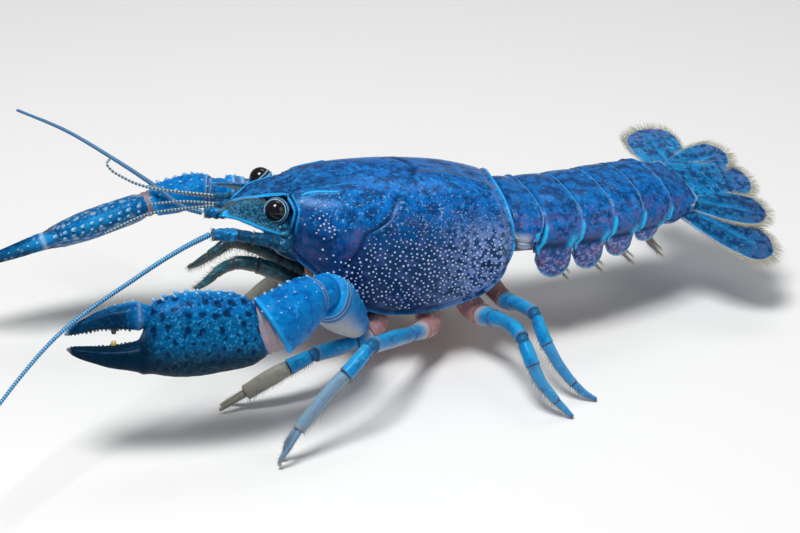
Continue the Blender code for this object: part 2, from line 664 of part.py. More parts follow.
# Walking legs, front to rear. Upper piece from the body to the knee, lower piece from the knee to the floor
LEGS = {
    ("leg_1", LEFT): (
        ((-2.8, -6.6, 8.4, 2.1, 2.0), (-5.0, -8.9, 6.7, 1.9, 1.9), (-8.0, -10.4, 6.0, 1.15, 1.25),
         (-12.0, -12.8, 6.6, 1.2, 1.35), (-15.6, -14.9, 7.3, 1.1, 1.2)),
        ((-16.2, -15.2, 7.3, 1.05, 1.15), (-19.8, -16.2, 6.4, 1.2, 1.3), (-23.1, -16.6, 5.1, 1.15, 1.4),
         (-27.4, -16.5, 2.7, 0.95, 1.2), (-30.0, -16.3, 1.2, 0.5, 0.7), (-31.6, -16.2, 0.3, 0.3, 0.4)),
    ),
    ("leg_2", LEFT): (
        ((5.6, -6.2, 8.6, 2.2, 2.1), (4.9, -9.4, 6.9, 2.1, 1.9), (1.4, -14.0, 8.4, 1.2, 1.25),
         (-3.6, -20.6, 11.8, 1.2, 1.35), (-8.6, -26.6, 14.6, 1.1, 1.2)),
        ((-9.2, -27.2, 14.8, 1.05, 1.15), (-12.6, -29.4, 12.7, 1.15, 1.2), (-16.2, -30.9, 10.3, 0.95, 1.1),
         (-20.6, -32.8, 6.6, 0.9, 1.05), (-23.6, -33.9, 3.4, 0.6, 0.8), (-25.2, -34.4, 0.3, 0.32, 0.4)),
    ),
    ("leg_3", LEFT): (
        ((12.2, -6.2, 9.2, 2.2, 2.1), (13.8, -9.6, 8.0, 2.0, 1.8), (15.9, -15.5, 9.6, 1.15, 1.2),
         (16.6, -20.0, 10.6, 1.15, 1.25), (16.9, -23.4, 10.5, 1.05, 1.1)),
        ((17.0, -24.0, 10.2, 1.0, 1.1), (17.5, -27.0, 7.9, 1.1, 1.1), (18.4, -29.0, 5.4, 0.9, 0.95),
         (20.6, -31.0, 2.6, 0.65, 0.7), (22.8, -32.6, 0.3, 0.32, 0.36)),
    ),
    ("leg_4", LEFT): (
        ((16.8, -5.2, 11.0, 1.7, 1.7), (18.4, -8.8, 9.6, 1.5, 1.5), (19.6, -13.0, 10.8, 1.1, 1.15),
         (20.4, -18.4, 12.0, 1.05, 1.1)),
        ((20.6, -19.0, 11.8, 0.95, 1.0), (21.2, -22.0, 8.9, 1.0, 1.05), (23.2, -25.2, 4.9, 0.8, 0.85),
         (25.8, -27.3, 1.8, 0.6, 0.65), (28.2, -28.6, 0.3, 0.3, 0.34)),
    ),
    ("leg_1", RIGHT): (
        ((-2.8, 6.6, 8.4, 2.1, 2.0), (-4.6, 8.8, 7.0, 1.9, 1.9), (-6.6, 10.8, 6.2, 1.2, 1.3),
         (-9.4, 12.4, 6.8, 1.2, 1.35), (-12.2, 13.4, 7.6, 1.1, 1.2)),
        ((-12.8, 13.6, 7.6, 1.05, 1.15), (-15.6, 14.0, 6.4, 1.2, 1.3), (-18.4, 13.8, 4.9, 1.15, 1.4),
         (-21.6, 13.4, 2.7, 0.95, 1.2), (-23.4, 13.2, 1.2, 0.5, 0.7), (-24.6, 13.0, 0.3, 0.3, 0.4)),
    ),
    ("leg_2", RIGHT): (
        ((5.6, 6.2, 8.6, 2.2, 2.1), (5.0, 9.4, 6.9, 2.1, 1.9), (3.6, 14.0, 9.0, 1.2, 1.25),
         (1.6, 19.4, 12.0, 1.2, 1.35), (-0.2, 23.6, 14.0, 1.1, 1.2)),
        ((-0.5, 24.2, 14.1, 1.05, 1.15), (-2.2, 27.0, 12.0, 1.15, 1.2), (-3.8, 29.0, 9.2, 0.95, 1.1),
         (-5.2, 30.6, 5.6, 0.9, 1.05), (-6.1, 31.4, 2.8, 0.6, 0.8), (-6.7, 31.9, 0.3, 0.32, 0.4)),
    ),
    ("leg_3", RIGHT): (
        ((12.2, 6.2, 9.2, 2.2, 2.1), (13.2, 9.6, 8.0, 2.0, 1.8), (13.4, 15.0, 9.8, 1.15, 1.2),
         (13.0, 19.6, 11.4, 1.15, 1.25), (12.8, 23.0, 11.6, 1.05, 1.1)),
        ((12.8, 23.6, 11.4, 1.0, 1.1), (13.0, 26.4, 9.0, 1.1, 1.1), (13.4, 28.4, 6.2, 0.9, 0.95),
         (14.2, 30.4, 3.0, 0.65, 0.7), (15.2, 31.8, 0.3, 0.32, 0.36)),
    ),
    ("leg_4", RIGHT): (
        ((16.8, 5.2, 11.0, 1.7, 1.7), (17.8, 8.6, 9.6, 1.5, 1.5), (18.4, 12.4, 10.6, 1.1, 1.15),
         (18.8, 16.4, 11.6, 1.05, 1.1)),
        ((18.9, 17.0, 11.4, 0.95, 1.0), (19.4, 19.6, 8.8, 1.0, 1.05), (20.6, 21.8, 5.2, 0.8, 0.85),
         (22.2, 23.4, 2.0, 0.6, 0.65), (23.6, 24.2, 0.3, 0.3, 0.34)),
    ),
}


# Pincers at the ends of the first two pairs: share of a finger's length, distance aside, half width, half height
PINCERS = ((0.0, 0.16, 0.55, 0.65), (0.5, 0.87, 0.4, 0.5), (1.0, 1.2, 0.25, 0.34))
LOWER_UP = (0.3, 0.2, 1.0)


def make_pincer(rows):
    """Two fingers that part and end on the floor, around the last rows of a leg."""
    rows = np.array(rows)
    along = unit(rows[-1, :3] - rows[0, :3])
    across = unit(np.cross(along, LOWER_UP))
    fingers = []
    for way in (-1, 1):
        places = np.linspace(0, 1, len(rows))
        stations = []
        for share, aside, width, height in PINCERS:
            middle = np.array([np.interp(share, places, rows[:, axis]) for axis in range(3)])
            stations.append((*(middle + across * aside * way), width, height))
        fingers.append(tube("finger", stations, BRIGHT, 6, 2, up=LOWER_UP, floor=0.0))
    return fingers


def make_legs():
    made = {}
    for (name, side), (upper, lower) in LEGS.items():
        tag = f"{name}_{side_name(side)}"
        made[f"{tag}_upper"] = tube(f"{tag}_upper", upper, BRIGHT, 8, 2, up=(0, 0.1, 1))
        if name in ("leg_1", "leg_2"):
            leg = tube(f"{tag}_lower", lower[:4], BRIGHT, 8, 2, up=LOWER_UP)
            boolean(leg, make_pincer(lower[3:]), "UNION")
        else:
            leg = tube(f"{tag}_lower", lower, BRIGHT, 8, 2, up=LOWER_UP, floor=0.0)
        made[f"{tag}_lower"] = leg
    return made


def rest_on_origin(objects):
    """Moves all the meshes, so that the middle of the whole box's base is the origin."""
    points = np.array([vert.co for obj in objects for vert in obj.data.vertices])
    low, high = points.min(axis=0), points.max(axis=0)
    move = Vector(((low[0] + high[0]) / -2, (low[1] + high[1]) / -2, -low[2]))
    for obj in objects:
        for vert in obj.data.vertices:
            vert.co += move


def main():
    clear_scene()
    carapace = make_carapace()
    thorax = make_thorax()
    clear_of(thorax, carapace)
    segments = make_abdomen()
    fan = make_fan()
    for lobe in fan.values():
        clear_of(lobe, segments[-1])
    order = ("telson", "uropod_inner_left", "uropod_inner_right", "uropod_outer_left", "uropod_outer_right")
    for i, name in enumerate(order):
        clear_of(fan[name], *(fan[other] for other in order[:i]))
    face = make_face()
    clear_of(face, carapace, thorax)
    made = {}
    head = make_head()
    for side in (LEFT, RIGHT):
        tag = side_name(side)
        boolean(carapace, [swollen(head[f"eye_{tag}"])], "DIFFERENCE")
        clear_of(head[f"eyestalk_{tag}"], head[f"eye_{tag}"], carapace, face)
        peduncle = tube(f"antenna_{tag}_base", PEDUNCLES[side], BRIGHT, sides=10, steps=2)
        clear_of(peduncle, face, carapace)
        blade = tube(f"antennal_scale_{tag}", SCALES[side], BRIGHT, sides=10, steps=2,
                     up=(0, SCALE_LEAN * side, 1))
        clear_of(blade, face, carapace, peduncle, head[f"eye_{tag}"], head[f"eyestalk_{tag}"])
        for length in make_whip(f"antenna_{tag}_flagellum", WHIPS[side], 0.5, BRIGHT):
            clear_of(length, peduncle)
        stem, longer, shorter = ANTENNULES[side]
        antennule = wire(f"antennule_{tag}", stem, TEAL, steps=2)
        whips = [wire("whip", rows, TEAL) for rows in (longer, shorter)]
        boolean(antennule, whips, "UNION")
        clear_of(antennule, face, blade, carapace)
        maxilliped = tube(f"maxilliped_{tag}", MAXILLIPEDS[side], TEAL, sides=8, steps=2)
        clear_of(maxilliped, thorax, face, carapace)
        claw = LEFT_CLAW if side == LEFT else RIGHT_CLAW
        pieces = [tube(f"cheliped_{tag}_{name}", rows, BRIGHT, sides=12, steps=3, rounding=0.5)
                  for name, rows in claw.items()]
        palm, dactyl = make_chela(side)
        clear_of(pieces[0], thorax, carapace)
        clear_of(pieces[1], pieces[0], carapace)
        clear_of(pieces[2], pieces[1])
        clear_of(palm, pieces[2])
        clear_of(dactyl, palm)
        made[f"ischium_{tag}"] = pieces[0]
    legs = make_legs()
    for name, leg in legs.items():
        if name.endswith("upper"):
            clear_of(leg, thorax, carapace)
            if name.startswith("leg_1"):
                clear_of(leg, made[f"ischium_{name.split('_')[2]}"])
        else:
            clear_of(leg, legs[name.replace("lower", "upper")])
    rest_on_origin(bpy.data.collections[COLLECTION].objects)


main()
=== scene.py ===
"""Finish of a blue everglades crayfish, a life-size still model with its head to -X and its left side to -Y.

The script is laid out as an add-on: each operator makes one piece or one group of like pieces, and main
runs them in order. Tables are in millimetres from a point under the middle of the carapace, as in the
part's own source, and every mesh is moved to the frame's place as it is made.
"""

import math
from functools import cache

import bmesh
import bpy
import numpy as np
from bpy.props import FloatProperty, FloatVectorProperty, IntProperty, PointerProperty
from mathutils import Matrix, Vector


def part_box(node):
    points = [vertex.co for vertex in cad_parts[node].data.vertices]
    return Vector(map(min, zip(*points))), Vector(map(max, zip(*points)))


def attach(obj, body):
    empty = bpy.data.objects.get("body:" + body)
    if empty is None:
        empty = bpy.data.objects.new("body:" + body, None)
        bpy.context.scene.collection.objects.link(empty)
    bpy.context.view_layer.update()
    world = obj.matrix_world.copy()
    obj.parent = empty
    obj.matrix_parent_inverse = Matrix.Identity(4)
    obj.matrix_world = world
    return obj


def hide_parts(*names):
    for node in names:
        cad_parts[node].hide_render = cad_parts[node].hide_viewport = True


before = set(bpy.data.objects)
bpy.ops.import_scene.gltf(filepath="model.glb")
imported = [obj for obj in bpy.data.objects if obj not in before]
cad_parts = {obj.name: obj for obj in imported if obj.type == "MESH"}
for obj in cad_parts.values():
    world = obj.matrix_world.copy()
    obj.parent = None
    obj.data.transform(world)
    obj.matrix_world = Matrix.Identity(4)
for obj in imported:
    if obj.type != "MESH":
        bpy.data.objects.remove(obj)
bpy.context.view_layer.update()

bl_info = {
    "name": "Everglades crayfish",
    "version": (1, 0, 0),
    "blender": (4, 5, 0),
    "location": "3D View > Sidebar > Crayfish",
    "description": "Builds the detailed shell, limbs and feelers of a blue crayfish over its plain solids",
    "category": "Object",
}

MM = 0.001
LEFT = -1
RIGHT = 1
SIDES = (LEFT, RIGHT)
BODY = "root"
RNG_SEED = 7

# Eyes are spheres in the frame, so they give the shift from the tables to the frame
EYE_RADIUS = 1.9
EYES = {LEFT: (-19.4, -5.6, 29.3), RIGHT: (-19.9, 5.6, 29.9)}
SHIFT = (np.mean(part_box("eye_left"), axis=0) / MM) - np.array(EYES[LEFT])

# Camera in the tables' millimetres, and the angles that it looks along
CAMERA_PLACE = (-65.8, -273.7, 163.4)
CAMERA_AZIMUTH = -14.0
CAMERA_ELEVATION = 28.0
CAMERA_LENS = 85.0

# Carapace, front to rear: x, half width, top, height of the widest line, rim height, rim half width
CARAPACE_STATIONS = (
    (-17.4, 6.9, 31.4, 26.6, 22.3, 6.6),
    (-16.2, 7.7, 32.0, 26.2, 20.6, 7.3),
    (-14.0, 9.0, 32.4, 25.4, 18.6, 8.2),
    (-11.0, 10.4, 32.6, 24.4, 15.8, 9.0),
    (-8.0, 11.3, 32.7, 23.6, 13.0, 9.4),
    (-4.5, 11.9, 32.6, 22.8, 10.9, 9.7),
    (0.0, 12.2, 32.3, 22.2, 9.9, 9.9),
    (5.0, 12.2, 31.7, 21.8, 9.9, 9.9),
    (9.5, 12.0, 30.9, 21.5, 10.6, 10.0),
    (14.0, 11.5, 29.6, 21.4, 12.0, 10.1),
    (17.0, 10.9, 28.5, 21.6, 14.5, 10.2),
    (18.5, 10.4, 27.9, 22.0, 17.4, 10.2),
    (19.2, 10.1, 27.6, 22.6, 20.4, 10.0),
)
# Power of the curve over the back, and the share of the way from mid-back to rim at its widest line
BACK_POWER = 2.3
WIDEST_SHARE = 0.6
# Front and rear edges: share of the way from mid-back to rim, and x
FRONT_EDGE = ((0.2, -17.3), (0.25, -17.1), (0.33, -16.8), (0.4, -16.65), (0.48, -16.85), (0.55, -17.15),
              (0.65, -17.4), (0.73, -17.3), (0.8, -16.95), (0.87, -17.2), (0.94, -17.35), (1.0, -16.4))
REAR_EDGE = ((0.0, 18.3), (0.3, 18.8), (0.6, 19.2), (1.0, 19.2))
SHELL_THICKNESS = 0.45

# Rostrum, tip to root: x, half width, top, thickness
ROSTRUM_STATIONS = (
    (-25.8, 0.25, 29.4, 0.3),
    (-24.0, 1.35, 30.2, 0.7),
    (-22.2, 2.5, 30.8, 0.9),
    (-19.5, 3.1, 31.3, 1.0),
    (-16.5, 3.9, 31.7, 1.1),
    (-13.0, 4.6, 31.6, 1.2),
)

# Lines on the carapace, on one side with y turned positive
GROOVE = ((4.9, -0.4, 31.9), (3.6, 3.0, 31.6), (1.6, 5.8, 30.9), (-0.6, 9.0, 29.6), (-2.0, 10.6, 28.0),
          (-3.6, 11.1, 27.1), (-5.6, 11.3, 26.2), (-6.6, 11.5, 24.8), (-7.2, 11.5, 23.4), (-8.4, 11.2, 21.7),
          (-9.4, 10.7, 20.2))
RIDGE = ((-15.3, 5.2, 31.0), (-14.4, 5.1, 31.4), (-12.9, 5.2, 31.6), (-9.3, 6.0, 31.6))
MARGIN_RIDGE = ((-17.4, 3.8, 31.5), (-14.0, 4.3, 32.1), (-10.0, 4.6, 32.2), (-5.0, 4.4, 32.4))
BACK_LINES = ((4.6, 1.7, 31.8), (8.0, 1.0, 31.3), (12.0, 1.1, 30.3), (16.0, 2.0, 29.0), (18.0, 2.8, 28.2))
MAUVE_PATCH = ((-9.5, 10.7, 21.5), (-8.6, 11.2, 22.8), (-7.9, 11.3, 24.4), (-7.0, 11.1, 26.2))
CHEEK_TUBERCLES = (-12.2, 9.1, 28.2)
CHEEK_PATCH = ((-15.9, 7.9, 24.6), (-14.6, 8.5, 23.0), (-13.2, 9.2, 21.2))
# A patch under the ridge: mauve, and also the place of painted shade against a highlight there
RIDGE_PATCH = ((-14.8, 6.2, 30.4), (-12.6, 6.9, 30.3))

# Abdomen: each segment's length, its turn to the right in degrees, and how low the rim of its side plate
# hangs at its lowest and at its ends
SEGMENT_LENGTHS = (4.3, 6.4, 6.1, 5.9, 5.9, 7.0)
SEGMENT_TURNS = (3.0, 7.0, 10.0, 12.0, 14.0, 15.0)
PLEURON_BOTTOMS = (19.0, 12.8, 13.1, 14.2, 15.6, 17.2)
PLEURON_TOPS = (20.6, 17.6, 17.6, 18.0, 18.6, 19.2)
# Height of the back, half width and roll in degrees at each joint of the abdomen
SEGMENT_TOPS = (26.6, 25.9, 25.5, 25.2, 25.0, 24.4, 21.6)
SEGMENT_HALF_WIDTHS = (9.2, 9.7, 9.7, 9.3, 8.8, 8.0, 6.4)
SEGMENT_ROLLS = (0.0, 0.0, 1.0, 3.0, 5.0, 8.0, 12.0)
ABDOMEN_START = (19.5, 0.0)
# How far in the side plates tuck under, and how far forward they lean
PLEURON_TUCK = 0.7
PLEURON_LEAN = 1.3

# Tail fan: base, tip, direction across, half width, half thickness
FAN = {
    "telson": ((54.9, 6.9, 20.4), (69.6, 9.4, 17.4), (0.0, 0.93, 0.36), 4.3, 0.8),
    "uropod_inner_left": ((54.9, 2.9, 18.4), (69.4, 0.8, 15.0), (0.1, 0.93, 0.36), 3.6, 0.5),
    "uropod_outer_left": ((54.2, 1.4, 17.4), (67.6, -7.0, 11.2), (0.45, 0.8, 0.3), 4.1, 0.5),
    "uropod_inner_right": ((55.2, 10.6, 20.6), (67.0, 15.8, 20.6), (-0.4, 0.85, 0.3), 3.7, 0.5),
    "uropod_outer_right": ((55.6, 11.6, 20.4), (54.0, 23.6, 23.0), (-1.0, 0.1, 0.0), 4.7, 0.5),
}

# Width of a lobe, as a share of its greatest, at each share of its length
LOBE_OUTLINE = ((0.0, 0.55), (0.12, 0.66), (0.35, 0.88), (0.6, 1.0), (0.8, 0.95), (0.91, 0.74),
                (0.97, 0.45), (1.0, 0.2))
TELSON_OUTLINE = ((0.0, 0.92), (0.2, 1.0), (0.45, 0.98), (0.6, 0.92), (0.8, 0.86), (0.91, 0.7),
                  (0.97, 0.45), (1.0, 0.2))

# Antenna stalks, scales and whips, each row x, y, z, half width, half height
PEDUNCLES = {
    LEFT: ((-17.6, -6.2, 24.6, 1.6, 1.6), (-19.0, -7.4, 24.6, 1.9, 1.8), (-22.5, -7.8, 25.6, 1.4, 1.3),
           (-26.4, -8.0, 26.9, 1.25, 1.2), (-30.4, -8.5, 27.7, 0.95, 0.95)),
    RIGHT: ((-17.6, 6.2, 24.4, 1.6, 1.6), (-19.0, 7.2, 24.2, 1.9, 1.8), (-22.5, 7.0, 23.8, 1.4, 1.3),
            (-26.0, 6.8, 23.8, 1.25, 1.2), (-29.4, 7.2, 24.0, 0.95, 0.95)),
}
WHIPS = {
    LEFT: ((-30.7, -8.5, 27.75, 0.5), (-36.0, -12.0, 27.4, 0.42), (-43.4, -17.0, 26.1, 0.38),
           (-55.8, -26.0, 23.3, 0.34), (-65.8, -36.0, 18.5, 0.3), (-69.6, -41.5, 15.6, 0.26)),
    RIGHT: ((-29.7, 7.2, 24.0, 0.5), (-32.7, 9.0, 24.7, 0.44), (-36.8, 13.0, 27.2, 0.4),
            (-42.4, 18.0, 30.2, 0.36), (-49.7, 25.0, 33.3, 0.32), (-57.3, 31.0, 35.4, 0.26)),
}
ANTENNULES = {
    LEFT: (
        ((-19.6, -1.7, 27.6, 0.9), (-23.5, -1.9, 28.9, 0.95), (-27.6, -2.0, 29.6, 0.75),
         (-28.8, -2.0, 29.7, 0.6)),
        ((-28.0, -2.0, 29.5, 0.34), (-34.5, -4.0, 30.6, 0.3), (-40.3, -6.0, 31.2, 0.28),
         (-47.0, -9.0, 30.3, 0.25)),
        ((-28.0, -2.0, 29.8, 0.34), (-34.0, -2.6, 31.2, 0.3), (-39.5, -4.0, 32.0, 0.25)),
    ),
    RIGHT: (
        ((-19.6, 1.7, 27.6, 0.9), (-23.5, 1.5, 28.9, 0.95), (-27.4, 1.0, 29.7, 0.75),
         (-28.6, 0.9, 29.9, 0.6)),
        ((-28.0, 0.9, 29.9, 0.34), (-38.3, 3.0, 31.5, 0.3), (-43.1, 5.0, 33.4, 0.27),
         (-44.7, 6.0, 34.9, 0.25), (-44.2, 7.0, 35.4, 0.25)),
        ((-28.0, 0.9, 29.6, 0.34), (-33.5, 2.6, 30.2, 0.3), (-38.6, 4.9, 31.0, 0.25)),
    ),
}
MAXILLIPEDS = {
    side: ((-13.5, side * 3.6, 12.6, 1.5, 1.5), (-17.5, side * 3.9, 15.8, 1.7, 1.4),
           (-21.5, side * 4.0, 18.4, 1.5, 1.3), (-25.3, side * 3.9, 19.7, 1.1, 1.1),
           (-28.2, side * 3.2, 18.6, 0.9, 0.9), (-31.2, side * 3.6, 16.6, 0.6, 0.6),
           (-33.0, side * 4.0, 15.8, 0.3, 0.3))
    for side in (LEFT, RIGHT)
}

# Arms of the claws: rows of x, y, z, half width and half height
ARMS = {
    LEFT: {
        "ischium": ((-7.0, -5.8, 10.0, 2.2, 2.0), (-7.6, -8.6, 9.2, 2.2, 2.0), (-7.9, -11.2, 9.6, 2.3, 2.2)),
        "merus": ((-8.1, -11.6, 10.0, 2.4, 2.4), (-10.4, -14.6, 14.0, 3.3, 3.4),
                  (-13.2, -18.0, 18.6, 3.9, 3.9), (-14.8, -20.0, 21.2, 3.2, 3.2)),
        "carpus": ((-15.5, -20.7, 21.9, 2.7, 3.0), (-18.4, -22.4, 21.4, 3.8, 4.1),
                   (-22.0, -23.8, 19.9, 4.3, 4.9), (-24.4, -24.4, 18.8, 4.1, 4.9)),
    },
    RIGHT: {
        "ischium": ((-7.0, 5.8, 10.0, 2.2, 2.0), (-8.0, 8.6, 9.6, 2.2, 2.0), (-9.0, 11.0, 10.6, 2.3, 2.2)),
        "merus": ((-9.4, 11.6, 11.2, 2.3, 2.3), (-14.5, 13.0, 16.6, 2.9, 3.0), (-20.5, 13.8, 22.4, 3.1, 3.1),
                  (-25.2, 14.0, 24.3, 2.6, 2.5)),
        "carpus": ((-26.2, 14.0, 24.4, 2.4, 2.3), (-30.0, 14.6, 24.6, 3.4, 2.8),
                   (-34.4, 15.4, 23.5, 3.3, 2.7), (-36.9, 15.8, 22.7, 2.5, 2.1)),
    },
}
# How far the base of a palm leans along it to each unit across it, and where along it the lean has gone
PALM_LEAN = {LEFT: 0.34, RIGHT: 0.0}
LEAN_REACH = 7.0
# Chelae: wrist, direction along and direction across towards the dactyl, and then palm length, half
# width, half thickness and length of the fingers
CHELA_FRAMES = {
    LEFT: ((-25.2, -24.5, 18.6), (-28.5, 0.6, 2.3), (0.0, 0.42, 0.9)),
    RIGHT: ((-37.6, 16.0, 22.4), (-17.4, 0.3, -4.9), (0.0, -0.88, 0.47)),
}
CHELA_SIZES = {LEFT: (18.2, 6.4, 3.9, 11.8), RIGHT: (17.4, 5.2, 2.5, 14.4)}

# Walking legs, front to rear. Upper piece from the body to the knee, lower piece from the knee to the floor
LEGS = {
    ("leg_1", LEFT): (
        ((-2.8, -6.6, 8.4, 2.1, 2.0), (-5.0, -8.9, 6.7, 1.9, 1.9), (-8.0, -10.4, 6.0, 1.15, 1.25),
         (-12.0, -12.8, 6.6, 1.2, 1.35), (-15.6, -14.9, 7.3, 1.1, 1.2)),
        ((-16.2, -15.2, 7.3, 1.05, 1.15), (-19.8, -16.2, 6.4, 1.2, 1.3), (-23.1, -16.6, 5.1, 1.15, 1.4),
         (-27.4, -16.5, 2.7, 0.95, 1.2), (-30.0, -16.3, 1.2, 0.5, 0.7), (-31.6, -16.2, 0.3, 0.3, 0.4)),
    ),
    ("leg_2", LEFT): (
        ((5.6, -6.2, 8.6, 2.2, 2.1), (4.9, -9.4, 6.9, 2.1, 1.9), (1.4, -14.0, 8.4, 1.2, 1.25),
         (-3.6, -20.6, 11.8, 1.2, 1.35), (-8.6, -26.6, 14.6, 1.1, 1.2)),
        ((-9.2, -27.2, 14.8, 1.05, 1.15), (-12.6, -29.4, 12.7, 1.15, 1.2), (-16.2, -30.9, 10.3, 0.95, 1.1),
         (-20.6, -32.8, 6.6, 0.9, 1.05), (-23.6, -33.9, 3.4, 0.6, 0.8), (-25.2, -34.4, 0.3, 0.32, 0.4)),
    ),
    ("leg_3", LEFT): (
        ((12.2, -6.2, 9.2, 2.2, 2.1), (13.8, -9.6, 8.0, 2.0, 1.8), (15.9, -15.5, 9.6, 1.15, 1.2),
         (16.6, -20.0, 10.6, 1.15, 1.25), (16.9, -23.4, 10.5, 1.05, 1.1)),
        ((17.0, -24.0, 10.2, 1.0, 1.1), (17.5, -27.0, 7.9, 1.1, 1.1), (18.4, -29.0, 5.4, 0.9, 0.95),
         (20.6, -31.0, 2.6, 0.65, 0.7), (22.8, -32.6, 0.3, 0.32, 0.36)),
    ),
    ("leg_4", LEFT): (
        ((16.8, -5.2, 11.0, 1.7, 1.7), (18.4, -8.8, 9.6, 1.5, 1.5), (19.6, -13.0, 10.8, 1.1, 1.15),
         (20.4, -18.4, 12.0, 1.05, 1.1)),
        ((20.6, -19.0, 11.8, 0.95, 1.0), (21.2, -22.0, 8.9, 1.0, 1.05), (23.2, -25.2, 4.9, 0.8, 0.85),
         (25.8, -27.3, 1.8, 0.6, 0.65), (28.2, -28.6, 0.3, 0.3, 0.34)),
    ),
    ("leg_1", RIGHT): (
        ((-2.8, 6.6, 8.4, 2.1, 2.0), (-4.6, 8.8, 7.0, 1.9, 1.9), (-6.6, 10.8, 6.2, 1.2, 1.3),
         (-9.4, 12.4, 6.8, 1.2, 1.35), (-12.2, 13.4, 7.6, 1.1, 1.2)),
        ((-12.8, 13.6, 7.6, 1.05, 1.15), (-15.6, 14.0, 6.4, 1.2, 1.3), (-18.4, 13.8, 4.9, 1.15, 1.4),
         (-21.6, 13.4, 2.7, 0.95, 1.2), (-23.4, 13.2, 1.2, 0.5, 0.7), (-24.6, 13.0, 0.3, 0.3, 0.4)),
    ),
    ("leg_2", RIGHT): (
        ((5.6, 6.2, 8.6, 2.2, 2.1), (5.0, 9.4, 6.9, 2.1, 1.9), (3.6, 14.0, 9.0, 1.2, 1.25),
         (1.6, 19.4, 12.0, 1.2, 1.35), (-0.2, 23.6, 14.0, 1.1, 1.2)),
        ((-0.5, 24.2, 14.1, 1.05, 1.15), (-2.2, 27.0, 12.0, 1.15, 1.2), (-3.8, 29.0, 9.2, 0.95, 1.1),
         (-5.2, 30.6, 5.6, 0.9, 1.05), (-6.1, 31.4, 2.8, 0.6, 0.8), (-6.7, 31.9, 0.3, 0.32, 0.4)),
    ),
    ("leg_3", RIGHT): (
        ((12.2, 6.2, 9.2, 2.2, 2.1), (13.2, 9.6, 8.0, 2.0, 1.8), (13.4, 15.0, 9.8, 1.15, 1.2),
         (13.0, 19.6, 11.4, 1.15, 1.25), (12.8, 23.0, 11.6, 1.05, 1.1)),
        ((12.8, 23.6, 11.4, 1.0, 1.1), (13.0, 26.4, 9.0, 1.1, 1.1), (13.4, 28.4, 6.2, 0.9, 0.95),
         (14.2, 30.4, 3.0, 0.65, 0.7), (15.2, 31.8, 0.3, 0.32, 0.36)),
    ),
    ("leg_4", RIGHT): (
        ((16.8, 5.2, 11.0, 1.7, 1.7), (17.8, 8.6, 9.6, 1.5, 1.5), (18.4, 12.4, 10.6, 1.1, 1.15),
         (18.8, 16.4, 11.6, 1.05, 1.1)),
        ((18.9, 17.0, 11.4, 0.95, 1.0), (19.4, 19.6, 8.8, 1.0, 1.05), (20.6, 21.8, 5.2, 0.8, 0.85),
         (22.2, 23.4, 2.0, 0.6, 0.65), (23.6, 24.2, 0.3, 0.3, 0.34)),
    ),
}
# Roots of the eyestalks, and the thorax and the face as rows of x, y, z, half width and half height
EYESTALK_ROOTS = {LEFT: (-16.4, -2.6, 28.4), RIGHT: (-16.6, 2.6, 28.8)}
THORAX = ((-13.0, 0, 15.6, 4.5, 2.0), (-8.0, 0, 12.0, 6.5, 2.6), (0.0, 0, 10.2, 7.4, 2.6),
          (8.0, 0, 10.4, 7.6, 2.6), (14.0, 0, 11.6, 7.2, 2.6), (17.8, 0, 13.6, 6.0, 2.2))
FACE = ((-13.5, 0, 23.5, 6.0, 6.0), (-17.0, 0, 24.0, 5.8, 5.0), (-19.0, 0, 24.6, 4.2, 3.6),
        (-20.6, 0, 25.0, 2.4, 2.4))

# Stage: half the floor's width in metres, and each lamp's place, size and power
FLOOR_REACH = 4.0
LAMPS = (
    ("key_light", (-0.12, -0.1, 0.52), 0.18, 2.8),
    ("fill_light", (0.45, -0.4, 0.3), 0.4, 0.8),
    ("back_light", (0.2, 0.3, 0.55), 0.25, 0.5),
)
LAMPS_AIM = (0, 0, 0.015)


class Sizes(bpy.types.PropertyGroup):
    """Sizes that a maker would change. Lengths are in millimetres."""

    tubercle_spacing: FloatProperty(
        name="Tubercle spacing", description="Least distance between tubercles, in mm", default=0.61, min=0.5
    )
    tubercle_size: FloatProperty(
        name="Tubercle radius", description="Radius of a large tubercle, in mm", default=0.21, min=0.05
    )
    pits: IntProperty(
        name="Claw pits", description="Most dark pits of each size on a claw's palm", default=85, min=0
    )
    ring_spacing: FloatProperty(
        name="Feeler ring", description="Length of one ring of a long feeler, in mm", default=0.46, min=0.2
    )
    bristle_length: FloatProperty(
        name="Fringe length", description="Length of the tail fan's bristles, in mm", default=2.2, min=0.2
    )


class Colours(bpy.types.PropertyGroup):
    """Colours that a maker would change."""

    azure: FloatVectorProperty(name="Azure", description="Top of the back", subtype="COLOR", size=3,
                               default=(0.001, 0.13, 0.46))
    cobalt: FloatVectorProperty(name="Cobalt", description="Upper flank", subtype="COLOR", size=3,
                                default=(0.001, 0.06, 0.22))
    navy: FloatVectorProperty(name="Navy", description="Lower flank and blotches", subtype="COLOR", size=3,
                              default=(0.003, 0.018, 0.065))
    cyan: FloatVectorProperty(name="Cyan", description="Rims and ridges", subtype="COLOR", size=3,
                              default=(0.02, 0.42, 0.9))
    lilac: FloatVectorProperty(name="Lilac", description="Tubercle tips and haze", subtype="COLOR", size=3,
                               default=(0.55, 0.62, 0.85))
    mauve: FloatVectorProperty(name="Mauve", description="Patches of the cheek", subtype="COLOR", size=3,
                               default=(0.13, 0.09, 0.24))
    salmon: FloatVectorProperty(name="Salmon", description="Skin under the body", subtype="COLOR", size=3,
                                default=(0.5, 0.2, 0.13))
    cream: FloatVectorProperty(name="Cream", description="Undersides and joints", subtype="COLOR", size=3,
                               default=(0.55, 0.5, 0.42))
    teal: FloatVectorProperty(name="Teal", description="Mouthparts and fingers", subtype="COLOR", size=3,
                              default=(0.01, 0.06, 0.085))


def sizes():
    return bpy.context.scene.crayfish_sizes


def colour(name):
    return tuple(getattr(bpy.context.scene.crayfish_colours, name))


# Curves and sections


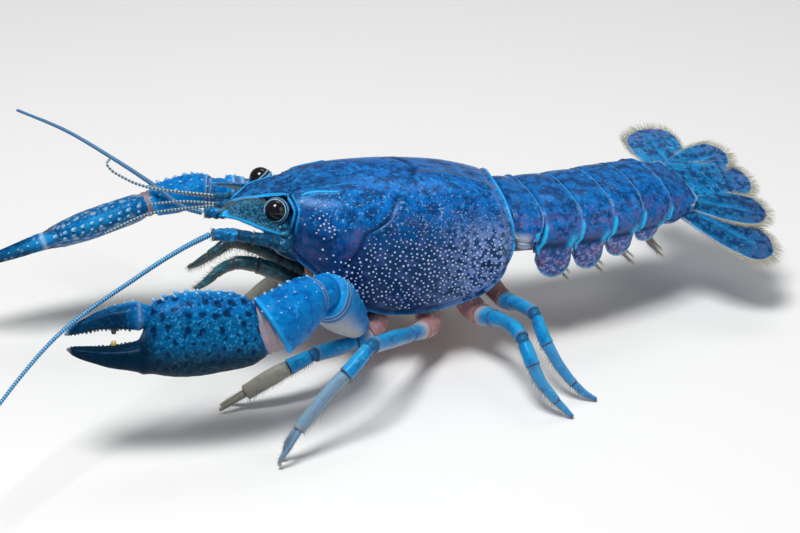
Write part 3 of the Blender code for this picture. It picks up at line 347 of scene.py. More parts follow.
def smooth_path(points, steps=24):
    """A curve through rows of numbers, with some steps to each span."""
    rows = np.asarray(points, float)
    padded = np.vstack([2 * rows[0] - rows[1], rows, 2 * rows[-1] - rows[-2]])
    shares = np.linspace(0, 1, steps, endpoint=False)[:, None]
    made = []
    for before, start, end, after in zip(padded, padded[1:], padded[2:], padded[3:]):
        first = (end - before) * shares
        second = (2 * before - 5 * start + 4 * end - after) * shares**2
        third = (3 * start - before - 3 * end + after) * shares**3
        made.append(0.5 * (2 * start + first + second + third))
    return np.vstack([*made, rows[-1:]])


def lengths_along(rows):
    """Distance along a path at each of its rows, which start with x, y, z."""
    return np.concatenate([[0], np.cumsum(np.linalg.norm(np.diff(rows[:, :3], axis=0), axis=1))])


def resampled(points, start=0.0, end=1.0, spacing=0.2, least=4):
    """The smooth curve through the points, at even steps between two shares of its length."""
    rows = smooth_path(points)
    lengths = lengths_along(rows)
    count = max(least, int(round((end - start) * lengths[-1] / spacing)) + 1)
    places = np.linspace(start, end, count) * lengths[-1]
    return np.stack([np.interp(places, lengths, column) for column in rows.T], axis=1)


def unit(vectors):
    vectors = np.asarray(vectors, float)
    return vectors / np.maximum(np.linalg.norm(vectors, axis=-1, keepdims=True), 1e-9)


def bent(values, power):
    """Values raised to a power, with their signs kept."""
    return np.sign(values) * np.abs(values) ** power


def turns(count):
    """Even angles round a whole turn."""
    return np.linspace(0, 2 * math.pi, count, endpoint=False)


def eased(values, low, high):
    """0 below low, 1 above high, and smooth between."""
    share = np.clip((np.asarray(values, float) - low) / (high - low), 0, 1)
    return share * share * (3 - 2 * share)


def hump(distance, width):
    """1 on a line, falling to 0 with the distance from it."""
    return np.exp(-((np.asarray(distance) / width) ** 2))


def distance_to(points, path):
    """Distance of each point from a smooth line."""
    line = smooth_path(path, 4)
    nearest = np.full(points.shape[:-1], 1e9)
    for start, end in zip(line, line[1:]):
        along = end - start
        share = np.clip(((points - start) @ along) / max(along @ along, 1e-12), 0, 1)
        nearest = np.minimum(nearest, np.linalg.norm(points - start - share[..., None] * along, axis=-1))
    return nearest


def normals_of(grid, wrapped):
    """Normals of a grid of points, by the differences between its neighbours."""
    down = np.gradient(grid, axis=0)
    if wrapped:
        across = np.roll(grid, -1, axis=1) - np.roll(grid, 1, axis=1)
    else:
        across = np.gradient(grid, axis=1)
    return unit(np.cross(down, across))


def waves(points, scale, seed):
    """A smooth random value from -1 to 1 at each point, with lumps of about the scale."""
    draw = np.random.default_rng(seed)
    total = np.zeros(points.shape[:-1])
    for _ in range(6):
        direction = unit(draw.normal(size=3)) * draw.uniform(0.7, 1.6) / scale
        total += np.sin(points @ direction * math.pi + draw.uniform(0, 6.3))
    return total / 6


# Pieces


def placed(name, data):
    """A new object in the scene."""
    obj = bpy.data.objects.new(name, data)
    bpy.context.scene.collection.objects.link(obj)
    return obj


def marked(mesh, name, values):
    """Gives every point of a mesh a number or a direction under a name."""
    kind, field = ("FLOAT", "value") if np.ndim(values) == 1 else ("FLOAT_VECTOR", "vector")
    mesh.attributes.new(name, kind, "POINT").data.foreach_set(field, np.ravel(values))


def moulded(name, look, surfaces, wrapped=True):
    """A piece in a finish, made of surfaces: each is a grid of points in millimetres with its masks.

    A wrapped surface closes on itself, and a point closes it at each end.
    """
    points = []
    faces = []
    masks = {mask: [] for _, marks in surfaces for mask in marks}
    count = 0
    for grid, marks in surfaces:
        rows, columns = grid.shape[:2]
        index = count + np.arange(rows * columns).reshape(rows, columns)
        here, after = (index, np.roll(index, -1, axis=1)) if wrapped else (index[:, :-1], index[:, 1:])
        faces += np.stack([here[:-1], here[1:], after[1:], after[:-1]], axis=-1).reshape(-1, 4).tolist()
        closing = [grid[0].mean(axis=0), grid[-1].mean(axis=0)] if wrapped else []
        if wrapped:
            last = count + rows * columns + 1
            faces += [[last - 1, a, b] for a, b in zip(index[0].tolist(), after[0].tolist())]
            faces += [[last, b, a] for a, b in zip(index[-1].tolist(), after[-1].tolist())]
        for mask, parts in masks.items():
            values = np.broadcast_to(marks.get(mask, 0.0), (rows, columns))
            ends = [values[0].mean(), values[-1].mean()] if wrapped else []
            parts.append(np.concatenate([values.reshape(-1), ends]))
        points.append(np.vstack([grid.reshape(-1, 3), *closing]))
        count += len(points[-1])
    mesh = bpy.data.meshes.new(name)
    mesh.from_pydata(((np.vstack(points) + SHIFT) * MM).tolist(), [], faces)
    for mask, parts in masks.items():
        marked(mesh, mask, np.concatenate(parts))
    mesh.polygons.foreach_set("use_smooth", [True] * len(mesh.polygons))
    mesh.update()
    mesh.materials.append(finish(look))
    return placed(name, mesh)


def outward(obj):
    """Turns the faces of a closed piece outwards."""
    maker = bmesh.new()
    maker.from_mesh(obj.data)
    bmesh.ops.recalc_face_normals(maker, faces=maker.faces[:])
    maker.to_mesh(obj.data)
    maker.free()
    return obj


def applied(obj):
    """The object with its modifiers made into its mesh."""
    graph = bpy.context.evaluated_depsgraph_get()
    made = bpy.data.meshes.new_from_object(obj.evaluated_get(graph))
    obj.modifiers.clear()
    obj.data = made
    return obj


def thickened(obj, thickness):
    """A sheet given a wall on its inner side, in millimetres."""
    wall = obj.modifiers.new("wall", "SOLIDIFY")
    wall.thickness = thickness * MM
    wall.offset = -1.0
    wall.use_quality_normals = True
    return applied(obj)


def settled(obj, nodes):
    """A finished piece rides on the body and stands for its nodes."""
    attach(obj, BODY)
    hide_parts(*nodes)


def shaped(name, look, slot, nodes, *surfaces):
    """A closed piece in a finish, made of surfaces and settled."""
    settled(outward(moulded(name, look, surfaces)), nodes)


def side_name(side):
    return "left" if side == LEFT else "right"


# Limbs


def frames_along(rows, up):
    """The two directions across a path at each of its rows, level and towards up."""
    along = unit(np.gradient(rows[:, :3], axis=0))
    across = unit(np.cross(along, np.asarray(up, float)))
    return across, np.cross(across, along)


def limb(stations, start=0.0, end=1.0, sides=36, spacing=0.2, up=(0, 0, 1), power=2.2, neck=1.0, cuff=1.0,
         rounding=0.5, floor=None, axis=None):
    """One length of a limb as a grid, with rounded ends, its masks, and the angles of its columns.

    The stations are rows of x, y, z, half width and half height. The neck is the size at the near end
    and the cuff the size at the far end, as shares of the width there. An axis keeps all rings square to it.
    """
    rows = resampled(stations, start, end, spacing)
    lengths = lengths_along(rows)
    total = lengths[-1]
    extra = np.array([0.0, 0.04, 0.15, 0.35, 0.65, 1.0]) * rounding
    places = np.unique(np.round(np.concatenate([lengths, extra, total - extra]), 4))
    places = places[(places >= 0) & (places <= total)]
    rows = np.stack([np.interp(places, lengths, column) for column in rows.T], axis=1)
    across, top = frames_along(rows, up)
    if axis is not None:
        across = np.broadcast_to(unit(np.cross(axis, up)), across.shape)
        top = np.cross(across, axis)
    size = 1 + (neck - 1) * hump(places, 0.16 * total) + (cuff - 1) * hump(total - places, 0.12 * total)
    ends = np.clip(np.minimum(places, total - places) / rounding, 0, 1)
    size = size * np.maximum(np.sqrt(1 - (1 - ends) ** 2), 0.02)
    turn = turns(sides)
    flat, tall = bent(np.cos(turn), 2 / power), bent(np.sin(turn), 2 / power)
    wide = (rows[:, 3] * size)[:, None, None] * flat[None, :, None] * across[:, None, :]
    high = (rows[:, 4] * size)[:, None, None] * tall[None, :, None] * top[:, None, :]
    grid = rows[:, None, :3] + wide + high
    if floor is not None:
        grid[..., 2] = np.maximum(grid[..., 2], floor)
    height = (wide + high)[..., 2]
    height = height / np.maximum(np.abs(height).max(axis=1, keepdims=True), 1e-6)
    masks = {
        "share": np.broadcast_to((places / total)[:, None], grid.shape[:2]),
        "under": eased(-height, -0.1, 0.9),
        "joint": hump(np.minimum(places, total - places), 0.45)[:, None],
    }
    return grid, masks, turn


def ball(centre, radius):
    """A small sphere as a grid, for knobs and the joints inside knees."""
    polar, turn = np.linspace(0.1, math.pi - 0.1, 14)[:, None], turns(24)[None, :]
    place = [np.sin(polar) * np.cos(turn), np.sin(polar) * np.sin(turn), np.cos(polar) + 0 * turn]
    return np.array(centre) + radius * np.stack(place, axis=-1)


def pushed(grid, heights, wrapped=True):
    """A grid moved outwards along its normals by heights in millimetres."""
    return grid + normals_of(grid, wrapped) * np.asarray(heights)[..., None]


def lumpy(grid, depth, size, seed):
    """A grid with soft lumps of a depth and a size in millimetres."""
    return pushed(grid, depth * waves(grid, size, seed))


def heading(grid):
    """Direction from the first ring of a limb to its last."""
    return unit(grid[-1].mean(axis=0) - grid[0].mean(axis=0))


def root(grid, row, column, lean, length, sunk=0.0):
    """A spike's root on a limb: its place, its lie, its length, and its place on the skin's map."""
    out = unit(grid[row, column] - grid[row].mean(axis=0))
    spot = (row / len(grid), column / grid.shape[1])
    return grid[row, column] - out * sunk, out + lean, length, spot


def hair(grid, rows, columns, lean, length):
    """Roots at some rows and columns of a limb, but for those that are near the floor."""
    places = [(row, column) for row in rows for column in columns if grid[row, column, 2] > HAIR_FLOOR]
    return [root(grid, row, column, lean, length) for row, column in places]


def spots_on(grid, count, spacing, draw, allowed):
    """Rows and columns of random places on a grid, no two closer than the spacing."""
    options = np.argwhere(allowed)
    draw.shuffle(options)
    chosen = []
    for row, column in options:
        place = grid[row, column]
        if all(np.linalg.norm(place - grid[other]) > spacing for other in chosen):
            chosen.append((row, column))
        if len(chosen) >= count:
            break
    return chosen


def dents(grid, spots, radius):
    """1 at the middle of each spot, falling to 0 at its radius."""
    depth = np.zeros(grid.shape[:2])
    for spot in spots:
        depth = np.maximum(depth, hump(np.linalg.norm(grid - grid[spot], axis=-1), radius))
    return depth


# Geometry Nodes trees. Each makes one kind of repeat from named inputs


class Tree:
    """A node tree as it is built, with short ways to add and join its nodes."""

    def __init__(self, name, kind="GeometryNodeTree"):
        self.tree = bpy.data.node_groups.new(name, kind)
        self.nodes = self.tree.nodes
        self.first = self.nodes.new("NodeGroupInput")
        self.last = self.nodes.new("NodeGroupOutput")

    def socket(self, name, kind, default=None, output=False):
        side = "OUTPUT" if output else "INPUT"
        made = self.tree.interface.new_socket(name=name, in_out=side, socket_type=kind)
        if default is not None:
            made.default_value = default

    def add(self, kind, inputs=None, **settings):
        node = self.nodes.new(kind)
        for key, value in settings.items():
            setattr(node, key, value)
        for key, value in (inputs or {}).items():
            self.feed(node.inputs[key], value)
        return node

    def feed(self, socket, value):
        if isinstance(value, bpy.types.NodeSocket):
            self.tree.links.new(value, socket)
        else:
            socket.default_value = value

    def maths(self, operation, first, second=0.0):
        node = self.add("ShaderNodeMath", operation=operation)
        self.feed(node.inputs[0], first)
        self.feed(node.inputs[1], second)
        return node.outputs[0]

    def attribute(self, name, kind="FLOAT"):
        node = self.add("GeometryNodeInputNamedAttribute", {"Name": name}, data_type=kind)
        return node.outputs["Attribute"]

    def store(self, geometry, name, value, kind="FLOAT", domain="POINT"):
        node = self.add("GeometryNodeStoreNamedAttribute", {"Name": name}, data_type=kind, domain=domain)
        self.feed(node.inputs["Geometry"], geometry)
        self.feed(node.inputs["Value"], value)
        return node.outputs["Geometry"]

    def finish(self, geometry):
        """Realizes instances, sets the material and ends the tree."""
        real = self.add("GeometryNodeRealizeInstances", {"Geometry": geometry})
        smooth = self.add("GeometryNodeSetShadeSmooth", {"Geometry": real.outputs["Geometry"]})
        painted = self.add("GeometryNodeSetMaterial", {"Geometry": smooth.outputs["Geometry"]})
        self.feed(painted.inputs["Material"], self.first.outputs["Finish"])
        self.feed(self.last.inputs["Geometry"], painted.outputs["Geometry"])
        return self.tree


# Size of the patch of the skin's map that a spike takes, across it and along it
SPIKE_PATCH = (0.0015, 0.003)
# Steps to each ring of a feeler, the later half of them thick
RING_STEPS = 4


def tree_sockets(tree, sockets):
    tree.socket("Geometry", "NodeSocketGeometry", output=True)
    tree.socket("Geometry", "NodeSocketGeometry")
    for name, kind, default in sockets:
        tree.socket(name, kind, default)
    tree.socket("Finish", "NodeSocketMaterial")


@cache
def tubercle_tree():
    """Low round tubercles spread over a skin where its density mask allows, larger where bump_size is."""
    tree = Tree("tubercles")
    tree_sockets(tree, (
        ("Spacing", "NodeSocketFloat", 1.0 * MM),
        ("Radius", "NodeSocketFloat", 0.25 * MM),
        ("Height", "NodeSocketFloat", 0.9),
        ("Seed", "NodeSocketInt", RNG_SEED),
    ))
    given = tree.first.outputs
    points = tree.add("GeometryNodeDistributePointsOnFaces", {
        "Mesh": given["Geometry"], "Distance Min": given["Spacing"], "Density Max": 4.0 / MM**2,
        "Density Factor": tree.attribute("density"), "Seed": given["Seed"]}, distribute_method="POISSON")
    dome = tree.add("GeometryNodeMeshUVSphere", {"Segments": 7, "Rings": 4, "Radius": 1.0})
    axes = tree.add("ShaderNodeSeparateXYZ", {"Vector": tree.add("GeometryNodeInputPosition").outputs[0]})
    tip = tree.maths("MINIMUM", tree.maths("MULTIPLY", axes.outputs["Z"], 1.4), 1.0)
    knob = tree.store(dome.outputs["Mesh"], "tip", tip)
    vary = tree.add("FunctionNodeRandomValue", {"Seed": given["Seed"]}, data_type="FLOAT")
    vary.inputs[2].default_value, vary.inputs[3].default_value = 0.75, 1.2
    radius = tree.maths("MULTIPLY", tree.maths("MULTIPLY", given["Radius"], vary.outputs[1]),
                        tree.attribute("bump_size"))
    scale = tree.add("ShaderNodeCombineXYZ", {"X": radius, "Y": radius,
                                              "Z": tree.maths("MULTIPLY", radius, given["Height"])})
    made = tree.add("GeometryNodeInstanceOnPoints", {
        "Points": points.outputs["Points"], "Instance": knob, "Rotation": points.outputs["Rotation"],
        "Scale": scale.outputs[0]})
    return tree.finish(made.outputs["Instances"])


@cache
def spike_tree():
    """A tapered spike on every point of a mesh, along its lie, as long as its size."""
    tree = Tree("spikes")
    tree_sockets(tree, (
        ("Thickness", "NodeSocketFloat", 0.12),
        ("Tip", "NodeSocketFloat", 0.1),
        ("Sides", "NodeSocketInt", 6),
        ("Rings", "NodeSocketInt", 3),
        ("Spread", "NodeSocketFloat", 0.0),
        ("Seed", "NodeSocketInt", RNG_SEED),
    ))
    given = tree.first.outputs
    cone = tree.add("GeometryNodeMeshCone", {
        "Vertices": given["Sides"], "Side Segments": given["Rings"], "Radius Top": given["Tip"],
        "Radius Bottom": 1.0, "Depth": 1.0})
    axes = tree.add("ShaderNodeSeparateXYZ", {"Vector": tree.add("GeometryNodeInputPosition").outputs[0]})
    spike = tree.store(cone.outputs["Mesh"], "tip", axes.outputs["Z"])
    patch = tree.add("ShaderNodeCombineXYZ", {
        "X": tree.maths("MULTIPLY", axes.outputs["X"], SPIKE_PATCH[0]),
        "Y": tree.maths("MULTIPLY", axes.outputs["Z"], SPIKE_PATCH[1])})
    spike = tree.store(spike, "patch", patch.outputs[0], "FLOAT_VECTOR")
    jitter = tree.add("FunctionNodeRandomValue", {"Seed": given["Seed"]}, data_type="FLOAT_VECTOR")
    jitter.inputs[0].default_value, jitter.inputs[1].default_value = (-1, -1, -1), (1, 1, 1)
    wander = tree.add("ShaderNodeVectorMath", {0: jitter.outputs[0]}, operation="SCALE")
    tree.feed(wander.inputs["Scale"], given["Spread"])
    lie = tree.add("ShaderNodeVectorMath", {0: tree.attribute("lie", "FLOAT_VECTOR"), 1: wander.outputs[0]},
                   operation="ADD")
    turned = tree.add("FunctionNodeAlignRotationToVector", {"Vector": lie.outputs[0]}, axis="Z")
    size = tree.attribute("size")
    width = tree.maths("MULTIPLY", size, given["Thickness"])
    scale = tree.add("ShaderNodeCombineXYZ", {"X": width, "Y": width, "Z": size})
    made = tree.add("GeometryNodeInstanceOnPoints", {
        "Points": given["Geometry"], "Instance": spike, "Rotation": turned.outputs[0],
        "Scale": scale.outputs[0]})
    real = tree.add("GeometryNodeRealizeInstances", {"Geometry": made.outputs["Instances"]})
    place = tree.add("ShaderNodeVectorMath", {0: tree.attribute("root_place", "FLOAT_VECTOR"),
                                              1: tree.attribute("patch", "FLOAT_VECTOR")}, operation="ADD")
    return tree.finish(tree.store(real.outputs["Geometry"], "OFBake", place.outputs[0], "FLOAT2", "CORNER"))


@cache
def ring_tree():
    """A feeler of many rings along a line, as thick as its radius, with a narrow waist between rings."""
    tree = Tree("rings")
    tree_sockets(tree, (
        ("Ring length", "NodeSocketFloat", 0.6 * MM),
        ("Waist", "NodeSocketFloat", 0.75),
        ("Sides", "NodeSocketInt", 10),
    ))
    given = tree.first.outputs
    curve = tree.add("GeometryNodeMeshToCurve", {"Mesh": given["Geometry"]})
    fine = tree.add("GeometryNodeResampleCurve", {"Curve": curve.outputs["Curve"]}, mode="LENGTH")
    tree.feed(fine.inputs["Length"], tree.maths("DIVIDE", given["Ring length"], RING_STEPS))
    phase = tree.maths("MODULO", tree.add("GeometryNodeInputIndex").outputs[0], RING_STEPS)
    full = tree.maths("GREATER_THAN", phase, (RING_STEPS - 1) / 2)
    slack = tree.maths("SUBTRACT", 1.0, given["Waist"])
    size = tree.maths("ADD", given["Waist"], tree.maths("MULTIPLY", slack, full))
    stored = tree.store(fine.outputs["Curve"], "ring", full)
    radius = tree.maths("MULTIPLY", tree.attribute("radius_mm"), size)
    radius = tree.maths("MULTIPLY", radius, MM)
    sized = tree.add("GeometryNodeSetCurveRadius", {"Curve": stored, "Radius": radius})
    profile = tree.add("GeometryNodeCurvePrimitiveCircle", {"Resolution": given["Sides"], "Radius": 1.0})
    made = tree.add("GeometryNodeCurveToMesh", {
        "Curve": sized.outputs["Curve"], "Profile Curve": profile.outputs["Curve"], "Fill Caps": True,
        "Scale": tree.add("GeometryNodeInputRadius").outputs[0]})
    return tree.finish(made.outputs["Mesh"])


def grown(name, look, nodes, base, tree, inputs):
    """A settled piece in a finish, made by a tree from a base mesh, which is then removed."""
    source = placed("base", base)
    modifier = source.modifiers.new("grow", "NODES")
    modifier.node_group = tree
    values = {**inputs, "Finish": finish(look)}
    for item in tree.interface.items_tree:
        if item.item_type == "SOCKET" and item.in_out == "INPUT" and item.name in values:
            modifier[item.identifier] = values[item.name]
    bpy.context.view_layer.update()
    mesh = applied(source).data
    mesh.name = name
    bpy.data.objects.remove(source, do_unlink=True)
    if not mesh.polygons:
        raise RuntimeError(f"{name} came out empty")
    settled(placed(name, mesh), nodes)


def line_base(lines):
    """A mesh of loose edges through rows of x, y, z and radius, for the rings to follow."""
    made = bpy.data.meshes.new("line")
    rows = np.vstack(lines)
    starts = np.cumsum([0] + [len(line) for line in lines])
    edges = [(i, i + 1) for start, end in zip(starts, starts[1:]) for i in range(start, end - 1)]
    made.from_pydata(((rows[:, :3] + SHIFT) * MM).tolist(), edges, [])
    marked(made, "radius_mm", rows[:, 3])
    return made


def spikes(name, look, nodes, roots, inputs):
    """Spikes on roots, which are rows of place, lie, length in millimetres and place on the skin's map."""
    places, lies, lengths, maps = (np.array(column, float) for column in zip(*roots))
    made = bpy.data.meshes.new("roots")
    made.from_pydata(((places + SHIFT) * MM).tolist(), [], [])
    marked(made, "lie", unit(lies))
    marked(made, "size", lengths * MM)
    marked(made, "root_place", np.column_stack([maps, np.zeros(len(maps))]))
    grown(name, look, nodes, made, spike_tree(), inputs)


# Shader groups that several finishes share


@cache
def mottling_group():
    """Soft-edged blotches: 1 inside a blotch.

    Size is their number to a metre, and Cover is how much of the surface they take.
    """
    group = Tree("mottling", "ShaderNodeTree")
    group.socket("Mask", "NodeSocketFloat", output=True)
    group.socket("Size", "NodeSocketFloat", 500.0)
    group.socket("Cover", "NodeSocketFloat", 0.5)
    group.socket("Softness", "NodeSocketFloat", 0.05)
    group.socket("Stretch", "NodeSocketVector", (1, 1, 1))
    given = group.first.outputs
    place = group.add("ShaderNodeTexCoord").outputs["Object"]
    stretched = group.add("ShaderNodeVectorMath", {0: place, 1: given["Stretch"]}, operation="MULTIPLY")
    noise = group.add("ShaderNodeTexNoise", {"Vector": stretched.outputs[0], "Scale": given["Size"],
                                             "Detail": 3.0, "Roughness": 0.6})
    middle = group.maths("SUBTRACT", 1.0, given["Cover"])
    mask = group.add("ShaderNodeMapRange", {
        "Value": noise.outputs["Fac"], "From Min": group.maths("SUBTRACT", middle, given["Softness"]),
        "From Max": group.maths("ADD", middle, given["Softness"])}, interpolation_type="SMOOTHSTEP")
    group.feed(group.last.inputs["Mask"], mask.outputs["Result"])
    return group.tree


@cache
def grain_group():
    """The fine pitted grain of shell, as a height from 0 to 1. Size is its number of grains to a metre."""
    group = Tree("shell grain", "ShaderNodeTree")
    group.socket("Height", "NodeSocketFloat", output=True)
    group.socket("Size", "NodeSocketFloat", 3000.0)
    given = group.first.outputs
    place = group.add("ShaderNodeTexCoord").outputs["Object"]
    cells = group.add("ShaderNodeTexVoronoi", {"Vector": place, "Scale": given["Size"]})
    fine = group.add("ShaderNodeTexNoise", {"Vector": place, "Scale": given["Size"], "Detail": 2.0})
    total = group.maths("ADD", group.maths("MULTIPLY", cells.outputs["Distance"], 0.6), fine.outputs["Fac"])
    group.feed(group.last.inputs["Height"], total)
    return group.tree


class Paint(Tree):
    """A finish as it is built: a Principled shader, and colours laid one over another by masks."""

    def __init__(self, name, roughness, coat, values):
        self.material = bpy.data.materials.new(name)
        self.material.use_nodes = True
        self.tree = self.material.node_tree
        self.nodes = self.tree.nodes
        self.shader = self.nodes["Principled BSDF"]
        fixed = {"Roughness": roughness, "Coat Weight": coat, "Coat Roughness": 0.1, **values}
        for socket, value in fixed.items():
            self.shader.inputs[socket].default_value = value
        self.top = None

    def mask(self, what):
        """A mask of the mesh by name, blotches by size, cover and softness, or the opposite of either."""
        if what[0] == "not":
            return self.maths("SUBTRACT", 1.0, self.mask(what[1]))
        if isinstance(what, str):
            return self.add("ShaderNodeAttribute", attribute_name=what).outputs["Fac"]
        node = self.add("ShaderNodeGroup", node_tree=mottling_group())
        for key, value in zip(("Size", "Cover", "Softness", "Stretch"), what):
            self.feed(node.inputs[key], value)
        return node.outputs["Mask"]

    def lay(self, shade, amount=1.0, *masks):
        """Lays a colour, or a named one, over what is there, in an amount where all the masks are."""
        shade = (*(colour(shade) if isinstance(shade, str) else shade), 1.0)
        if self.top is None:
            base = self.add("ShaderNodeRGB")
            base.outputs[0].default_value = shade
            self.top = base.outputs[0]
            return
        factor = amount
        for mask in masks:
            factor = self.maths("MULTIPLY", self.mask(mask), factor)
        mixed = self.add("ShaderNodeMix", {"Factor": factor, 6: self.top, 7: shade}, data_type="RGBA")
        self.top = mixed.outputs[2]

    def done(self, size, depth, strength):
        """Joins the colours to the shader, and a grain by its number to a metre, depth and strength."""
        self.feed(self.shader.inputs["Base Color"], self.top)
        node = self.add("ShaderNodeGroup", node_tree=grain_group())
        self.feed(node.inputs["Size"], size)
        bump = self.add("ShaderNodeBump", {"Height": node.outputs["Height"], "Strength": strength,
                                           "Distance": depth * MM})
        self.feed(self.shader.inputs["Normal"], bump.outputs["Normal"])
        return self.material


@cache
def finish(name):
    """The material of a finish, made once."""
    roughness, coat, values, grain, layers = LOOKS[name]
    paint = Paint(name, roughness, coat, values)
    for layer in layers:
        paint.lay(*layer)
    return paint.done(*grain)


# Finishes

# Colours that several finishes share
BROWN = (0.09, 0.05, 0.03)
PALE = (0.45, 0.6, 0.75)
# Colour of the reflections of wet blue shell
SHINE = (0.15, 0.5, 1.0, 1.0)
# Values of the shader for wet shell, for duller parts and for soft skin
WET = {"Specular IOR Level": 0.3, "Specular Tint": SHINE}
DULL = {"Specular IOR Level": 0.3}
SOFT = {"Subsurface Weight": 0.1}
# Grains: number to a metre, depth in millimetres and strength
PLAIN_GRAIN = (3000, 0.03, 0.35)
SHELL_GRAIN = (2600, 0.04, 0.5)
FEELER_GRAIN = (5000, 0.01, 0.35)
HAIR_GRAIN = (4000, 0.01, 0.35)
# Masks: long streaks over the front of the back, and all that isn't low on the flank
STREAKS = (1100, 0.42, 0.04, (0.16, 1, 1))
UPPER = ("not", "low")

